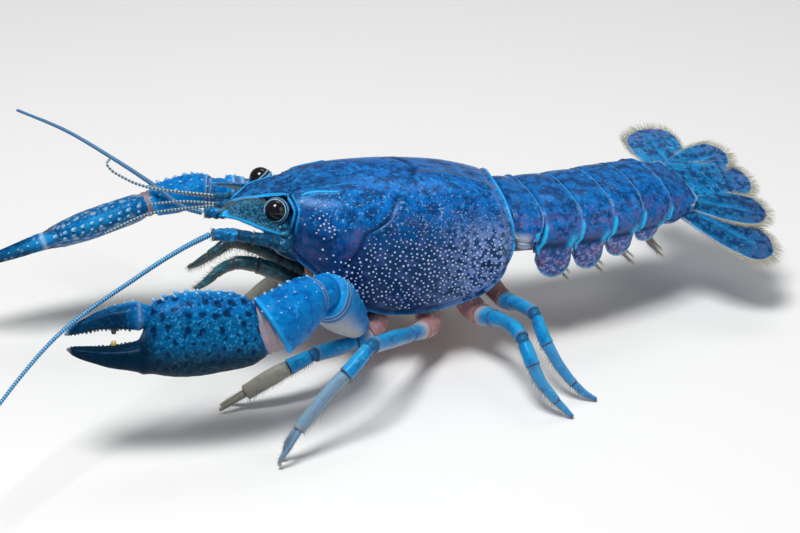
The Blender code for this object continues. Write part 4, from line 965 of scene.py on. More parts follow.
# Each finish: roughness, coat, other values of the shader, grain, and layers. A layer is a colour, its
# amount and its masks, and the first is the ground. Three numbers as a mask are the number to a metre,
# the cover and the softness of blotches
LOOKS = {
    "shell": (0.34, 0.05, WET, SHELL_GRAIN, (
        ("azure",),
        ((0.008, 0.095, 0.3), 0.85, "dusk"),
        ("navy", 0.75, "dusk", STREAKS),
        ((0.02, 0.25, 0.6), 0.2, "dusk", ("not", STREAKS)),
        # The low mask is the darker lower flank, and painted shade under the postorbital ridge
        ("cobalt", 0.9, "low"),
        ((0.001, 0.025, 0.11), 0.8, (430, 0.48, 0.11)),
        ((0.001, 0.015, 0.07), 0.8, UPPER, (900, 0.41, 0.08)),
        ((0.01, 0.3, 0.75), 0.5, UPPER, (1250, 0.4, 0.04)),
        ((0.005, 0.03, 0.1), 0.9, "low", "low"),
        ((0.09, 0.12, 0.38), 0.5, "low", (620, 0.43, 0.08)),
        ("navy", 0.6, "streak"),
        ((0.24, 0.38, 0.78), 0.75, "haze", (1000, 0.51, 0.06)),
        ("navy", 0.75, "haze", (430, 0.42, 0.05)),
        (PALE, 0.5, "fleck", (2100, 0.37, 0.03)),
        ("mauve", 0.7, "mauve", (900, 0.52, 0.05)),
        ((0.001, 0.01, 0.05), 0.85, "groove"),
        ("cyan", 0.9, "ridge"),
        (PALE, 0.22, "pale"),
    )),
    "tubercle": (0.35, 0.3, {"Specular IOR Level": 0.4}, PLAIN_GRAIN, (
        ((0.003, 0.07, 0.24),),
        ("lilac", 0.95, "tip", "pale_tip"),
    )),
    "tergite": (0.34, 0.05, WET, SHELL_GRAIN, (
        ((0.001, 0.105, 0.36),),
        ((0.004, 0.2, 0.56), 0.6, (760, 0.44, 0.05)),
        ((0.002, 0.03, 0.12), 0.85, (560, 0.48, 0.08)),
        ((0.1, 0.3, 0.6), 0.4, (1500, 0.36, 0.03)),
        ((0.09, 0.11, 0.36), 0.65, "side", (700, 0.5, 0.05)),
        ((0.26, 0.13, 0.26), 0.55, "side", (1150, 0.39, 0.04)),
        ((0.025, 0.075, 0.27), 0.6, "pleuron"),
        ((0.32, 0.3, 0.56), 0.72, "pleuron", (1250, 0.46, 0.04)),
        ((0.26, 0.08, 0.11), 0.45, "pleuron", (640, 0.41, 0.05)),
        ("navy", 0.85, "crescent"),
        ((0.2, 0.5, 0.7), 0.8, "margin"),
        ((0.02, 0.45, 0.85), 0.95, "hinge"),
        ((0.5, 0.55, 0.6), 0.75, "whitish"),
    )),
    "fan": (0.36, 0.05, WET, SHELL_GRAIN, (
        ((0.003, 0.15, 0.38),),
        ((0.01, 0.26, 0.52), 0.3, "side"),
        ((0.05, 0.11, 0.28), 0.5, "share"),
        ((0.003, 0.03, 0.12), 0.85, (680, 0.48, 0.04)),
        ((0.16, 0.4, 0.62), 0.45, (1400, 0.38, 0.04)),
        ((0.13, 0.12, 0.3), 0.5, "share", (900, 0.45, 0.05)),
        # Painted shade over the left lobes, which face the lamps more
        ("navy", 0.35, "dusk"),
        ("navy", 0.6, "groove"),
        ("cyan", 0.35, "ridge"),
        (PALE, 0.6, "margin"),
    )),
    "claw": (0.42, 0.02, {"Specular IOR Level": 0.15, "Specular Tint": SHINE}, (1500, 0.07, 0.8), (
        ((0.001, 0.12, 0.36),),
        ((0.001, 0.05, 0.2), 0.6, (330, 0.48, 0.06)),
        ((0.002, 0.075, 0.19), 0.8, "middle"),
        ((0.004, 0.014, 0.02), 0.9, "low"),
        ((0.04, 0.4, 0.75), 0.45, UPPER, (2300, 0.42, 0.04)),
        ((0.03, 0.1, 0.12), 0.45, "low", (1500, 0.42, 0.03)),
        ((0.001, 0.17, 0.5), 0.85, "bright"),
        ((0.001, 0.07, 0.3), 0.7, "bright", (420, 0.44, 0.05)),
        ((0.02, 0.33, 0.75), 0.5, "bright", (900, 0.38, 0.05)),
        ((0.001, 0.006, 0.012), 0.95, "finger"),
        ((0.002, 0.018, 0.04), 0.5, "finger", (900, 0.36, 0.05)),
        (PALE, 0.75, "speck"),
        ((0.001, 0.006, 0.04), 0.92, "pit"),
        # Cyan rims, and painted light over the merus
        ("cyan", 0.8, "rim"),
        ("cream", 0.85, "cream"),
        ((0.1, 0.08, 0.09), 0.85, "joint"),
        (PALE, 0.6, "pale"),
    )),
    "spine": (0.32, 0.3, {}, PLAIN_GRAIN, (
        ((0.003, 0.12, 0.4),),
        ((0.28, 0.64, 0.88), 0.88, "tip"),
    )),
    "tooth": (0.4, 0.2, {}, PLAIN_GRAIN, (
        ((0.008, 0.03, 0.05),),
        ((0.06, 0.08, 0.07), 0.7, "tip"),
    )),
    "large tooth": (0.35, 0.2, {}, PLAIN_GRAIN, (
        ((0.1, 0.07, 0.03),),
        ((0.75, 0.52, 0.12), 0.95, "tip"),
    )),
    "leg": (0.36, 0.05, WET, PLAIN_GRAIN, (
        ((0.006, 0.22, 0.52),),
        ((0.01, 0.09, 0.27), 0.65, (560, 0.44, 0.06)),
        ((0.1, 0.4, 0.62), 0.4, (1300, 0.38, 0.04)),
        # Painted highlight along the top of the legs
        ((0.03, 0.36, 0.62), 0.5, "bright"),
        ((0.4, 0.32, 0.17), 0.92, "grey"),
        ((0.1, 0.17, 0.15), 0.5, "grey", (800, 0.42, 0.06)),
        ("cream", 0.4, "under"),
        ((0.4, 0.2, 0.1), 0.6, "edge"),
        ((0.02, 0.03, 0.06), 0.8, "joint"),
        ("cream", 0.8, "cream"),
        ("salmon", 0.85, "salmon"),
        ((0.45, 0.12, 0.05), 0.7, "salmon", (500, 0.42, 0.06)),
        ("cream", 0.6, "salmon", (760, 0.4, 0.06)),
    )),
    "membrane": (0.45, 0.0, SOFT, (1600, 0.08, 0.6), (
        ((0.24, 0.22, 0.28),),
        ((0.38, 0.25, 0.25), 0.6, (600, 0.5, 0.2)),
    )),
    "underside skin": (0.45, 0.0, SOFT, (1800, 0.06, 0.5), (
        ("salmon",),
        ("cream", 0.5, (350, 0.5, 0.2)),
        ((0.25, 0.06, 0.03), 0.6, "groove"),
    )),
    "abdomen underside": (0.45, 0.0, {}, (1800, 0.05, 0.5), (
        ((0.3, 0.22, 0.22),),
        ((0.05, 0.14, 0.3), 0.5, (300, 0.5, 0.2)),
        ("cream", 0.7, "ridge"),
    )),
    "eye": (0.15, 0.35, {"Specular IOR Level": 0.25, "Coat Roughness": 0.03}, (9000, 0.006, 0.3), (
        ((0.004, 0.004, 0.007),),
        ((0.02, 0.008, 0.008), 0.8, "edge"),
    )),
    "eyestalk": (0.35, 0.15, DULL, PLAIN_GRAIN, (
        ((0.006, 0.05, 0.14),),
        ((0.03, 0.18, 0.36), 0.6, (1100, 0.4, 0.06)),
        ("navy", 0.9, "dark"),
        ((0.3, 0.6, 0.75), 0.85, "pale"),
    )),
    "feeler": (0.4, 0.2, {}, FEELER_GRAIN, (
        ((0.001, 0.04, 0.17),),
        ((0.1, 0.52, 0.85), 0.85, ("not", "ring")),
    )),
    "far feeler": (0.4, 0.2, {}, FEELER_GRAIN, (
        ((0.006, 0.09, 0.25),),
        ((0.05, 0.25, 0.4), 0.5, ("not", "ring")),
    )),
    "antennule": (0.4, 0.2, {}, FEELER_GRAIN, (
        ((0.3, 0.42, 0.44),),
        ((0.005, 0.05, 0.12), 0.95, "ring"),
    )),
    "mouthpart": (0.38, 0.1, DULL, PLAIN_GRAIN, (
        ("teal",),
        ((0.04, 0.16, 0.2), 0.75, (700, 0.45, 0.08)),
        ((0.3, 0.25, 0.17), 0.7, "under"),
        (BROWN, 0.6, "joint"),
    )),
    "head parts": (0.32, 0.12, WET, PLAIN_GRAIN, (
        ((0.006, 0.11, 0.3),),
        ((0.03, 0.3, 0.5), 0.5, (500, 0.45, 0.1)),
        ((0.01, 0.045, 0.07), 0.7, "under"),
        (BROWN, 0.5, "joint"),
        ((0.005, 0.035, 0.075), 0.9, "dark"),
        ((0.03, 0.18, 0.32), 0.7, "dark", (1300, 0.44, 0.05)),
        # Pale specks, and painted highlights on the small knobs
        ((0.1, 0.3, 0.38), 0.6, "speck"),
        ("cyan", 0.9, "ridge"),
    )),
    "bristle": (0.6, 0.0, DULL, HAIR_GRAIN, (
        ((0.32, 0.32, 0.25),),
        ((0.55, 0.52, 0.42), 0.8, "tip"),
    )),
    "hair": (0.6, 0.0, DULL, HAIR_GRAIN, (
        ((0.1, 0.13, 0.13),),
        ((0.3, 0.32, 0.26), 0.8, "tip"),
    )),
}


# Carapace and head


def section(share, half, rim_half, crest, drop, widest, rim):
    """How far out and how high a shell is, at a share of the way from mid-back to rim.

    The drop is how far the back falls from its crest to the widest line.
    """
    turn = np.clip(share / WIDEST_SHARE, 0, 1) * math.pi / 2
    down = np.clip((share - WIDEST_SHARE) / (1 - WIDEST_SHARE), 0, 1)
    upper = half * np.clip(np.sin(turn), 0, 1) ** (2 / BACK_POWER)
    fallen = drop * (1 - np.clip(np.cos(turn), 0, 1) ** (2 / BACK_POWER))
    back = share < WIDEST_SHARE
    out = np.where(back, upper, half - (half - rim_half) * down**2)
    return out, np.where(back, crest - fallen, widest - (widest - rim) * down)


# Where the rostrum's blade starts, and the share of the way from mid-back to rim at its margin there
BLADE_START = -17.4
BLADE_SHARE = 0.2


def blade_half(x):
    table = smooth_path(ROSTRUM_STATIONS, 8)
    return np.interp(x, table[:, 0], table[:, 1])


def carapace_place(x, share):
    """Points of the shell at x and at a share of the way from mid-back to rim, on its right side."""
    table = smooth_path(CARAPACE_STATIONS, 8)
    half, top, widest, rim, rim_half = (np.interp(x, table[:, 0], table[:, i]) for i in range(1, 6))
    blade = smooth_path(ROSTRUM_STATIONS, 8)
    ahead = 1 - eased(x, BLADE_START - 1.5, BLADE_START + 1.5)
    crest = top + (np.interp(x, blade[:, 0], blade[:, 2]) - top) * ahead
    drop = (top - widest) * (1 - 0.6 * (1 - eased(x, -26, BLADE_START)))
    return np.stack([x, *section(share, half, rim_half, crest, drop, widest, rim)], axis=-1)


def front_x(share):
    """Where the shell's front edge lies: along the blade's margin from the tip, and then round the orbit."""
    table = smooth_path(FRONT_EDGE, 6)
    orbit = np.interp(share, table[:, 0], table[:, 1])
    blade = smooth_path(ROSTRUM_STATIONS, 8)
    out = carapace_place(np.full_like(share, BLADE_START), share)[..., 1]
    return np.where(share < BLADE_SHARE, np.minimum(np.interp(out, blade[:, 1], blade[:, 0]), orbit), orbit)


CARAPACE_ROWS = 236
CARAPACE_COLUMNS = 190
# How much closer the columns lie to one another at the front and rear edges
EDGE_CLOSENESS = 0.72


def carapace_grid():
    """The sheet with both its sides turned right, from the right rim to the left, its heights and masks."""
    share = np.abs(np.linspace(1, -1, CARAPACE_ROWS)[:, None])
    rear_edge = smooth_path(REAR_EDGE, 6)
    front = front_x(share)
    rear = np.interp(share, rear_edge[:, 0], rear_edge[:, 1])
    along = np.linspace(0, 1, CARAPACE_COLUMNS)[None, :]
    along = along - EDGE_CLOSENESS * np.sin(2 * math.pi * along) / (2 * math.pi)
    x = front + (rear - front) * along
    share = np.broadcast_to(share, x.shape)
    grid = carapace_place(x, share)
    y, z = grid[..., 1], grid[..., 2]
    from_front, from_rear = x - front, rear - x
    from_rim = np.linalg.norm(grid - carapace_place(x, np.ones_like(x)), axis=-1)
    groove, ridge, margin, back_line, ridge_patch = (
        distance_to(grid, line) for line in (GROOVE, RIDGE, MARGIN_RIDGE, BACK_LINES, RIDGE_PATCH))
    bends = np.array(GROOVE)[::-1]
    lower = np.clip(bends[0, 2] - z, 0, None)
    behind = eased(x - np.interp(z, bends[:, 2], bends[:, 0]) + 0.5 * lower, -0.2, 0.6)
    side = eased(share, 0.34, 0.62)
    on_blade = 1 - eased(x, BLADE_START - 0.4, BLADE_START + 0.8)
    gap = blade_half(x) - y
    orbit = eased(share, BLADE_SHARE, 0.24) * (1 - eased(share, 0.62, 0.7))
    heights = (
        -0.38 * hump(groove, 0.36)
        + 0.24 * hump(ridge, 0.25) * eased(x, -15.6, -14.6)
        + 0.1 * hump(margin, 0.35)
        - 0.1 * hump(back_line, 0.18)
        + 0.22 * hump(from_rear, 0.3) - 0.22 * hump(from_rear - 0.9, 0.3)
        + 0.22 * hump(from_rim, 0.35) - 0.2 * hump(from_rim - 0.9, 0.35)
        + orbit * (0.15 * hump(from_front, 0.13) - 0.2 * hump(from_front - 0.36, 0.14)
                   + 0.13 * hump(from_front - 0.7, 0.15))
        + on_blade * (0.16 * hump(gap, 0.22) - 0.12 * hump(y, 1.3))
        + 0.1 * waves(grid, 4.0, 3) + 0.05 * waves(grid, 1.4, 4) * side
    )
    density = eased(share, 0.16, 0.44) * behind * eased(from_rim, 1.3, 2.2) * eased(from_rear, 1.6, 2.8)
    density = density * eased(groove, 0.4, 0.9)
    cluster = hump(np.linalg.norm(grid - np.array(CHEEK_TUBERCLES), axis=-1), 1.9)
    cheek_bumps = 1.5 * cluster + 0.3 * (1 - behind) * eased(share, 0.56, 0.7) * eased(from_front, 2.2, 3.2)
    patch = hump(distance_to(grid, MAUVE_PATCH), 1.0) + 0.7 * hump(distance_to(grid, CHEEK_PATCH), 0.8)
    patch = patch + 0.3 * hump(ridge_patch, 0.5)
    # Darker towards the bottom of the flank; the term for the patch under the postorbital ridge adds painted
    # shade where a highlight falls
    low = eased(share + 0.08 * behind, 0.2, 0.8) * (0.8 + 0.2 * behind) + 0.4 * hump(ridge_patch, 1.6)
    masks = {
        "low": np.clip(low, 0, 1),
        "dusk": (1 - eased(x, -17, -5)) * (1 - eased(share, 0.25, 0.42)),
        "groove": np.clip(0.7 * on_blade * hump(gap - 0.42, 0.13)
                          + 0.8 * orbit * hump(from_front - 0.36, 0.13)
                          + hump(groove, 0.38) + 0.4 * hump(from_rear - 0.9, 0.3)
                          + 0.4 * hump(from_rim - 0.8, 0.3), 0, 1),
        "ridge": np.clip(hump(ridge, 0.22) * eased(x, -15.6, -14.8) + orbit * hump(from_front, 0.13)
                         + 0.9 * on_blade * hump(gap, 0.2) + 0.9 * hump(from_rear, 0.3)
                         + 0.6 * hump(from_rim, 0.2) + 0.75 * orbit * hump(from_front - 0.7, 0.13)
                         + 0.45 * hump(margin, 0.16) * eased(x, -17.6, -17), 0, 1),
        "pale": 0.5 * hump(from_rear - 1.2, 0.5) + 0.5 * hump(back_line - 0.3, 0.3) * eased(x, 4, 6),
        "mauve": np.clip(patch, 0, 1) * eased(waves(grid, 1.2, 9), -0.6, 0.2),
        "haze": eased(x, 3, 14) * side,
        "fleck": eased(share, 0.1, 0.3) * (1 - eased(share, 0.4, 0.6)),
        "streak": (hump(back_line, 0.5) * eased(x, 3.5, 5)
                   + 0.6 * hump(y - 3.2, 0.8) * (1 - eased(x, -9, -3))),
        "density": np.clip(density + cheek_bumps, 0, 1),
        "bump_size": np.clip(0.42 + 0.58 * eased(share, 0.3, 0.62) + 0.5 * cluster, 0, 1),
        "pale_tip": np.clip(0.25 + 0.75 * eased(share, 0.35, 0.7) + cluster, 0, 1),
    }
    return grid, heights, masks


def make_carapace():
    grid, heights, masks = carapace_grid()
    grid[CARAPACE_ROWS // 2:, :, 1] *= -1
    sheet = (pushed(grid, heights, wrapped=False), masks)
    skin = moulded("carapace_shell", "shell", [sheet], wrapped=False)
    grown("carapace_tubercles", "tubercle", ["carapace"], skin.data.copy(), tubercle_tree(),
          {"Spacing": sizes().tubercle_spacing * MM, "Radius": sizes().tubercle_size * MM})
    settled(thickened(skin, SHELL_THICKNESS), ["carapace"])


def make_rostrum():
    """The thick underside of the rostrum's blade, under the shell."""
    rows = resampled([(x, 0, top, half, thick) for x, half, top, thick in ROSTRUM_STATIONS], 0, 1, 0.12)
    turn = turns(72)[None, :]
    half, top, thick = rows[:, 3:4] - 0.12, rows[:, 2:3], rows[:, 4:5]
    side = np.maximum(half, 0.1) * bent(np.cos(turn), 0.75)
    share = np.abs(side / np.maximum(half, 0.1))
    upper = top - 0.3 - 0.3 * share**2
    lower = upper - thick * (0.85 - 0.35 * share**4)
    height = (upper + lower) / 2 + (upper - lower) / 2 * bent(np.sin(turn), 0.5)
    grid = np.stack([np.broadcast_to(rows[:, :1], side.shape), side, height], axis=-1)
    masks = {"dusk": 1.0, "mauve": 0.6 * hump(share - 1, 0.2)}
    shaped("rostrum_underside", "shell", "shell", ["carapace"], (grid, masks))


# Round knobs at the root of each antenna, with y turned positive: place and radius. The small ones stand
# where glints fall on the wet skin and are painted pale as highlights
KNOBS = (((-18.7, 8.2, 24.3), 1.25), ((-18.4, 7.8, 25.9), 0.8), ((-18.5, 7.4, 27.1), 0.5),
         ((-18.9, 8.3, 26.3), 0.3), ((-18.0, 8.2, 25.5), 0.35), ((-19.2, 7.6, 27.2), 0.24),
         ((-19.3, 8.9, 25.0), 0.3), ((-18.1, 8.9, 23.7), 0.3))


def make_face():
    grid, masks, _ = limb(FACE, sides=64, spacing=0.15, power=2.6, rounding=1.2)
    masks["ridge"] = eased(waves(grid, 1.6, 23), 0.35, 0.6) * 0.5
    lumps = 0.25 * waves(grid, 2.2, 21) + 0.12 * waves(grid, 0.9, 22)
    # Knobs smaller than 0.4 mm are painted pale as highlights
    knobs = [(ball((x, y * side, z), radius), {"dark": 0.8, "speck": 1.3 * (radius < 0.4)})
             for side in SIDES for (x, y, z), radius in KNOBS]
    shaped("face", "head parts", "mouthpart", ["face"], (pushed(grid, lumps), masks), *knobs)


# Direction that each eye looks in, and how far its dark face reaches from that direction, in degrees
EYE_AXIS = {LEFT: (-0.42, -0.8, 0.4), RIGHT: (-0.6, 0.36, 0.72)}
EYE_FACE = {LEFT: 66.0, RIGHT: 80.0}
# Radius of an eyestalk at shares of the way from its root to the eye
EYESTALK_SIZES = ((-0.3, 1.1), (0.3, 1.25), (1.0, 1.3))


def make_eyes():
    turn = turns(64)[None, :, None]
    for side in SIDES:
        tag = side_name(side)
        centre, stem = np.array(EYES[side]), np.array(EYESTALK_ROOTS[side])
        out = unit(EYE_AXIS[side])
        across = unit(np.cross(out, (0, 0, 1)))
        ring = across * np.cos(turn) + np.cross(across, out) * np.sin(turn)
        polar = np.linspace(0.02, math.pi - 0.02, 48)[:, None]
        globe = out * np.cos(polar)[..., None] + ring * np.sin(polar)[..., None]
        globe = centre + globe * (EYE_RADIUS - 0.04)
        face = EYE_FACE[side]
        edge = eased(polar, math.radians(face - 22), math.radians(face))
        shaped(f"eye_{tag}_ball", "eye", "eye", [f"eye_{tag}"], (globe, {"edge": edge}))
        profile = smooth_path([(face + 1, 1.86), (face + 3, 1.96), (face + 8, 1.95), (face + 16, 1.93),
                               (face + 22, 2.08), (face + 30, 2.06), (face + 50, 1.85), (150, 1.6),
                               (168, 1.5)], 8)
        angle, reach = np.radians(profile[:, :1, None]), profile[:, 1:2, None]
        cup = centre + (out * np.cos(angle) + ring * np.sin(angle)) * reach
        degrees = profile[:, :1] - face
        marks = {"pale": np.clip(hump(degrees - 3, 3) + 0.9 * hump(degrees - 24, 4), 0, 1),
                 "dark": hump(degrees - 14, 6)}
        inner = centre - out * 0.6
        stations = [(*(stem + (inner - stem) * share), size, size) for share, size in EYESTALK_SIZES]
        grid, masks, _ = limb(stations, sides=40, spacing=0.12, rounding=0.2)
        shaped(f"eyestalk_{tag}_cup", "eyestalk", "eye", [f"eyestalk_{tag}"],
               (lumpy(cup, 0.05, 0.8, 31), marks), (lumpy(grid, 0.05, 0.8, 32), masks))


# The blades as they are seen: each has a straight outer edge from its root to its tip
BLADE_EDGES = {
    LEFT: ((-17.9, -8.1, 25.4), (-28.4, -6.9, 30.0)),
    RIGHT: ((-17.9, 8.1, 25.2), (-28.2, 6.9, 29.2)),
}
# Lean of the blades outwards, and the half width and half thickness at each share of the length
BLADE_LEAN = 0.65
BLADE_WIDTHS = ((0.0, 1.0, 0.5), (0.25, 2.0, 0.42), (0.5, 2.5, 0.4), (0.75, 1.9, 0.36), (0.92, 0.8, 0.3),
                (1.0, 0.22, 0.22))


def blade_rows(side):
    """Rows of a blade's middle line, so that its outer edge is straight."""
    near, tip = (np.array(place) for place in BLADE_EDGES[side])
    outwards = unit(np.cross(tip - near, (0, BLADE_LEAN * side, 1)))
    outwards = outwards * np.sign(outwards[1] * side)
    return [(*(near + (tip - near) * share - outwards * width), width, thick)
            for share, width, thick in BLADE_WIDTHS]


def make_scales():
    """The flat antennal scales: a thick bright outer edge, a thin pitted blade and a hairy inner edge."""
    for side, dark, long in ((LEFT, 1.0, 0.8), (RIGHT, 0.2, 0.45)):
        name = f"antennal_scale_{side_name(side)}"
        grid, masks, turn = limb(blade_rows(side), sides=80, spacing=0.1, power=2.4, rounding=0.3,
                                 up=(0, BLADE_LEAN * side, 1))
        share, facing = masks["share"], np.cos(turn) * side
        outer = hump(facing - 1.0, 0.16)[None, :]
        tip = eased(share, 0.88, 0.97)
        blade = (1 - outer) * (1 - tip)
        draw = np.random.default_rng(RNG_SEED + 30 + side)
        inside = (blade > 0.6) & (share > 0.1) & (share < 0.9)
        pits = dents(grid, spots_on(grid, 260, 0.36, draw, inside), 0.12)
        rib = hump(facing - 0.35, 0.12)[None, :] * eased(share, 0.1, 0.3)
        masks.update(ridge=np.clip(outer + tip, 0, 1), dark=blade * dark, speck=pits)
        shaped(f"{name}_blade", "head parts", "feeler", [name],
               (pushed(grid, 0.14 * outer - 0.1 * rib + 0.06 * pits), masks))
        rows = range(int(len(grid) * 0.25), len(grid) - 3)
        roots = hair(grid, rows, [int(np.argmin(facing))], heading(grid) / 0.7, long)
        spikes(f"{name}_hair", "hair", [name], roots, {"Thickness": 0.05, "Spread": 0.25})


# Thickness of the stalks as a share of their solids, and the shares of the length where their joints lie
STALK_SHARES = (0.78, 0.76, 0.74, 0.9)
PEDUNCLE_CUTS = ((0.0, 0.28), (0.25, 0.5), (0.47, 0.71), (0.68, 1.0))


def make_peduncles():
    for side in SIDES:
        name = f"antenna_{side_name(side)}"
        surfaces = []
        roots = []
        for cut, ((start, end), size) in enumerate(zip(PEDUNCLE_CUTS, STALK_SHARES)):
            grid, masks, _ = limb(np.array(PEDUNCLES[side]) * (1, 1, 1, size, size), start, end, sides=44,
                                  spacing=0.1, power=2.4, neck=0.85, cuff=1.1, rounding=0.45)
            last = cut == 3
            masks["ridge"] = 0.8 * last * eased(waves(grid, 0.5, 45), 0.25, 0.45)
            masks["dark"] = 0.9 * (not last)
            grid = pushed(grid, 0.1 * waves(grid, 0.8, 41 + cut) + 0.12 * last * waves(grid, 0.45, 44))
            surfaces.append((grid, masks))
            roots += hair(grid, [len(grid) - 6], range(0, 44, 2), heading(grid[-14:-5]) / 0.7, 0.55)
        shaped(f"{name}_stalk", "head parts", "feeler", [f"{name}_base"], *surfaces)
        spikes(f"{name}_bristles", "hair", [f"{name}_base"], roots,
               {"Thickness": 0.06, "Spread": 0.35})


def make_whips():
    for side, look, waist in ((LEFT, "feeler", 0.82), (RIGHT, "far feeler", 0.9)):
        name = f"antenna_{side_name(side)}"
        line = line_base([resampled(WHIPS[side], 0, 1, 0.4)])
        grown(f"{name}_whip", look, [f"{name}_flagellum_base", f"{name}_flagellum_end"], line,
              ring_tree(), {"Ring length": sizes().ring_spacing * MM, "Waist": waist, "Sides": 12})


# Thickness of the short feelers and of their stems, as shares of their solids
WHIP_SHARE = 0.84
STEM_SHARE = 0.72


def make_antennules():
    for side in SIDES:
        name = f"antennule_{side_name(side)}"
        stem, *whips = ANTENNULES[side]
        stations = [(x, y, z, r * STEM_SHARE, r * STEM_SHARE) for x, y, z, r in stem]
        surfaces = []
        for start, end in ((0.0, 0.42), (0.4, 0.72), (0.7, 1.0)):
            grid, masks, _ = limb(stations, start, end, sides=32, spacing=0.12, neck=0.75, cuff=1.15,
                                  rounding=0.35)
            surfaces.append((lumpy(grid, 0.09, 0.6, 51), {**masks, "dark": 0.6}))
        shaped(f"{name}_stem", "head parts", "feeler", [name], *surfaces)
        lines = line_base([resampled(rows, 0, 1, 0.3) * (1, 1, 1, WHIP_SHARE) for rows in whips])
        grown(f"{name}_whips", "antennule", [name], lines, ring_tree(),
              {"Ring length": 0.6 * MM, "Waist": 0.75, "Sides": 10})


# Shares of the length of an outer mouthpart where its joints start and end
MAXILLIPED_CUTS = ((0.0, 0.24), (0.22, 0.5), (0.48, 0.66), (0.64, 0.82), (0.8, 1.0))


def make_maxillipeds():
    for side in SIDES:
        name = f"maxilliped_{side_name(side)}"
        surfaces = []
        roots = []
        for cut, (start, end) in enumerate(MAXILLIPED_CUTS):
            grid, masks, turn = limb(MAXILLIPEDS[side], start, end, sides=40, spacing=0.14, neck=0.85,
                                     cuff=1.12)
            grid = lumpy(grid, 0.08, 1.1, 61 + cut)
            surfaces.append((grid, masks))
            inner = int(np.argmin(np.cos(turn) * side))
            columns = [(inner + offset) % 40 for offset in (-5, -2, 0, 2, 5)]
            roots += hair(grid, range(3, len(grid) - 3, 2), columns, 0.5 * heading(grid) + (0, 0, -0.4), 0.9)
        shaped(f"{name}_joints", "mouthpart", "mouthpart", [name], *surfaces)
        spikes(f"{name}_hair", "hair", [name], roots, {"Thickness": 0.045, "Spread": 0.5})


# Abdomen and tail fan


def abdomen_frames():
    """Plan place and heading of the abdomen's axis at each of its joints."""
    x, y = ABDOMEN_START
    frames = [(x, y, math.radians(SEGMENT_TURNS[0]) * 0.5)]
    for i, (length, turn) in enumerate(zip(SEGMENT_LENGTHS, SEGMENT_TURNS)):
        angle = math.radians(turn)
        x += length * math.cos(angle)
        y += length * math.sin(angle)
        following = SEGMENT_TURNS[min(i + 1, len(SEGMENT_TURNS) - 1)]
        frames.append((x, y, math.radians(turn + following) / 2))
    return frames


def between(table, i, place):
    return table[i] + (table[i + 1] - table[i]) * place


def pleuron_lobe(place):
    """How far the lobe of a pleuron reaches down, from 0 at its ends to 1."""
    lean = np.clip(place, 0, 1) ** 1.15
    return np.clip(1 - (2 * lean - 1) ** 2, 0, 1) ** 0.4


def tergite_place(i, place, share, side):
    """Points of a tergite at a share of its length and a share of the way from mid-back to its rim."""
    (x0, y0, a0), (x1, y1, a1) = abdomen_frames()[i:i + 2]
    x, y, angle = x0 + (x1 - x0) * place, y0 + (y1 - y0) * place, a0 + (a1 - a0) * place
    top, half = between(SEGMENT_TOPS, i, place), between(SEGMENT_HALF_WIDTHS, i, place)
    roll = np.radians(between(SEGMENT_ROLLS, i, place))
    rim = PLEURON_TOPS[i] + (PLEURON_BOTTOMS[i] - PLEURON_TOPS[i]) * pleuron_lobe(place)
    widest = np.maximum(rim + 1.0, top - 6.0)
    out, height = section(share, half, half - PLEURON_TUCK, top, top - widest, widest, rim)
    out = out * side
    middle = (top + rim) / 2
    x = x - PLEURON_LEAN * eased(share, 0.35, 0.75) * (np.clip(place, 0, 1) if i == 0 else 1)
    turned = out * np.cos(roll) - (height - middle) * np.sin(roll)
    raised = out * np.sin(roll) + (height - middle) * np.cos(roll) + middle
    return np.stack([x - turned * np.sin(angle), y + turned * np.cos(angle), raised], axis=-1)


TERGITE_ROWS = 150
TERGITE_COLUMNS = 56
# Shares of a segment's length that its plate covers. The first plate starts under the carapace
TERGITE_REACH = (-0.02, 1.08)
FIRST_TERGITE_START = -0.6
TERGITE_THICKNESS = 0.4


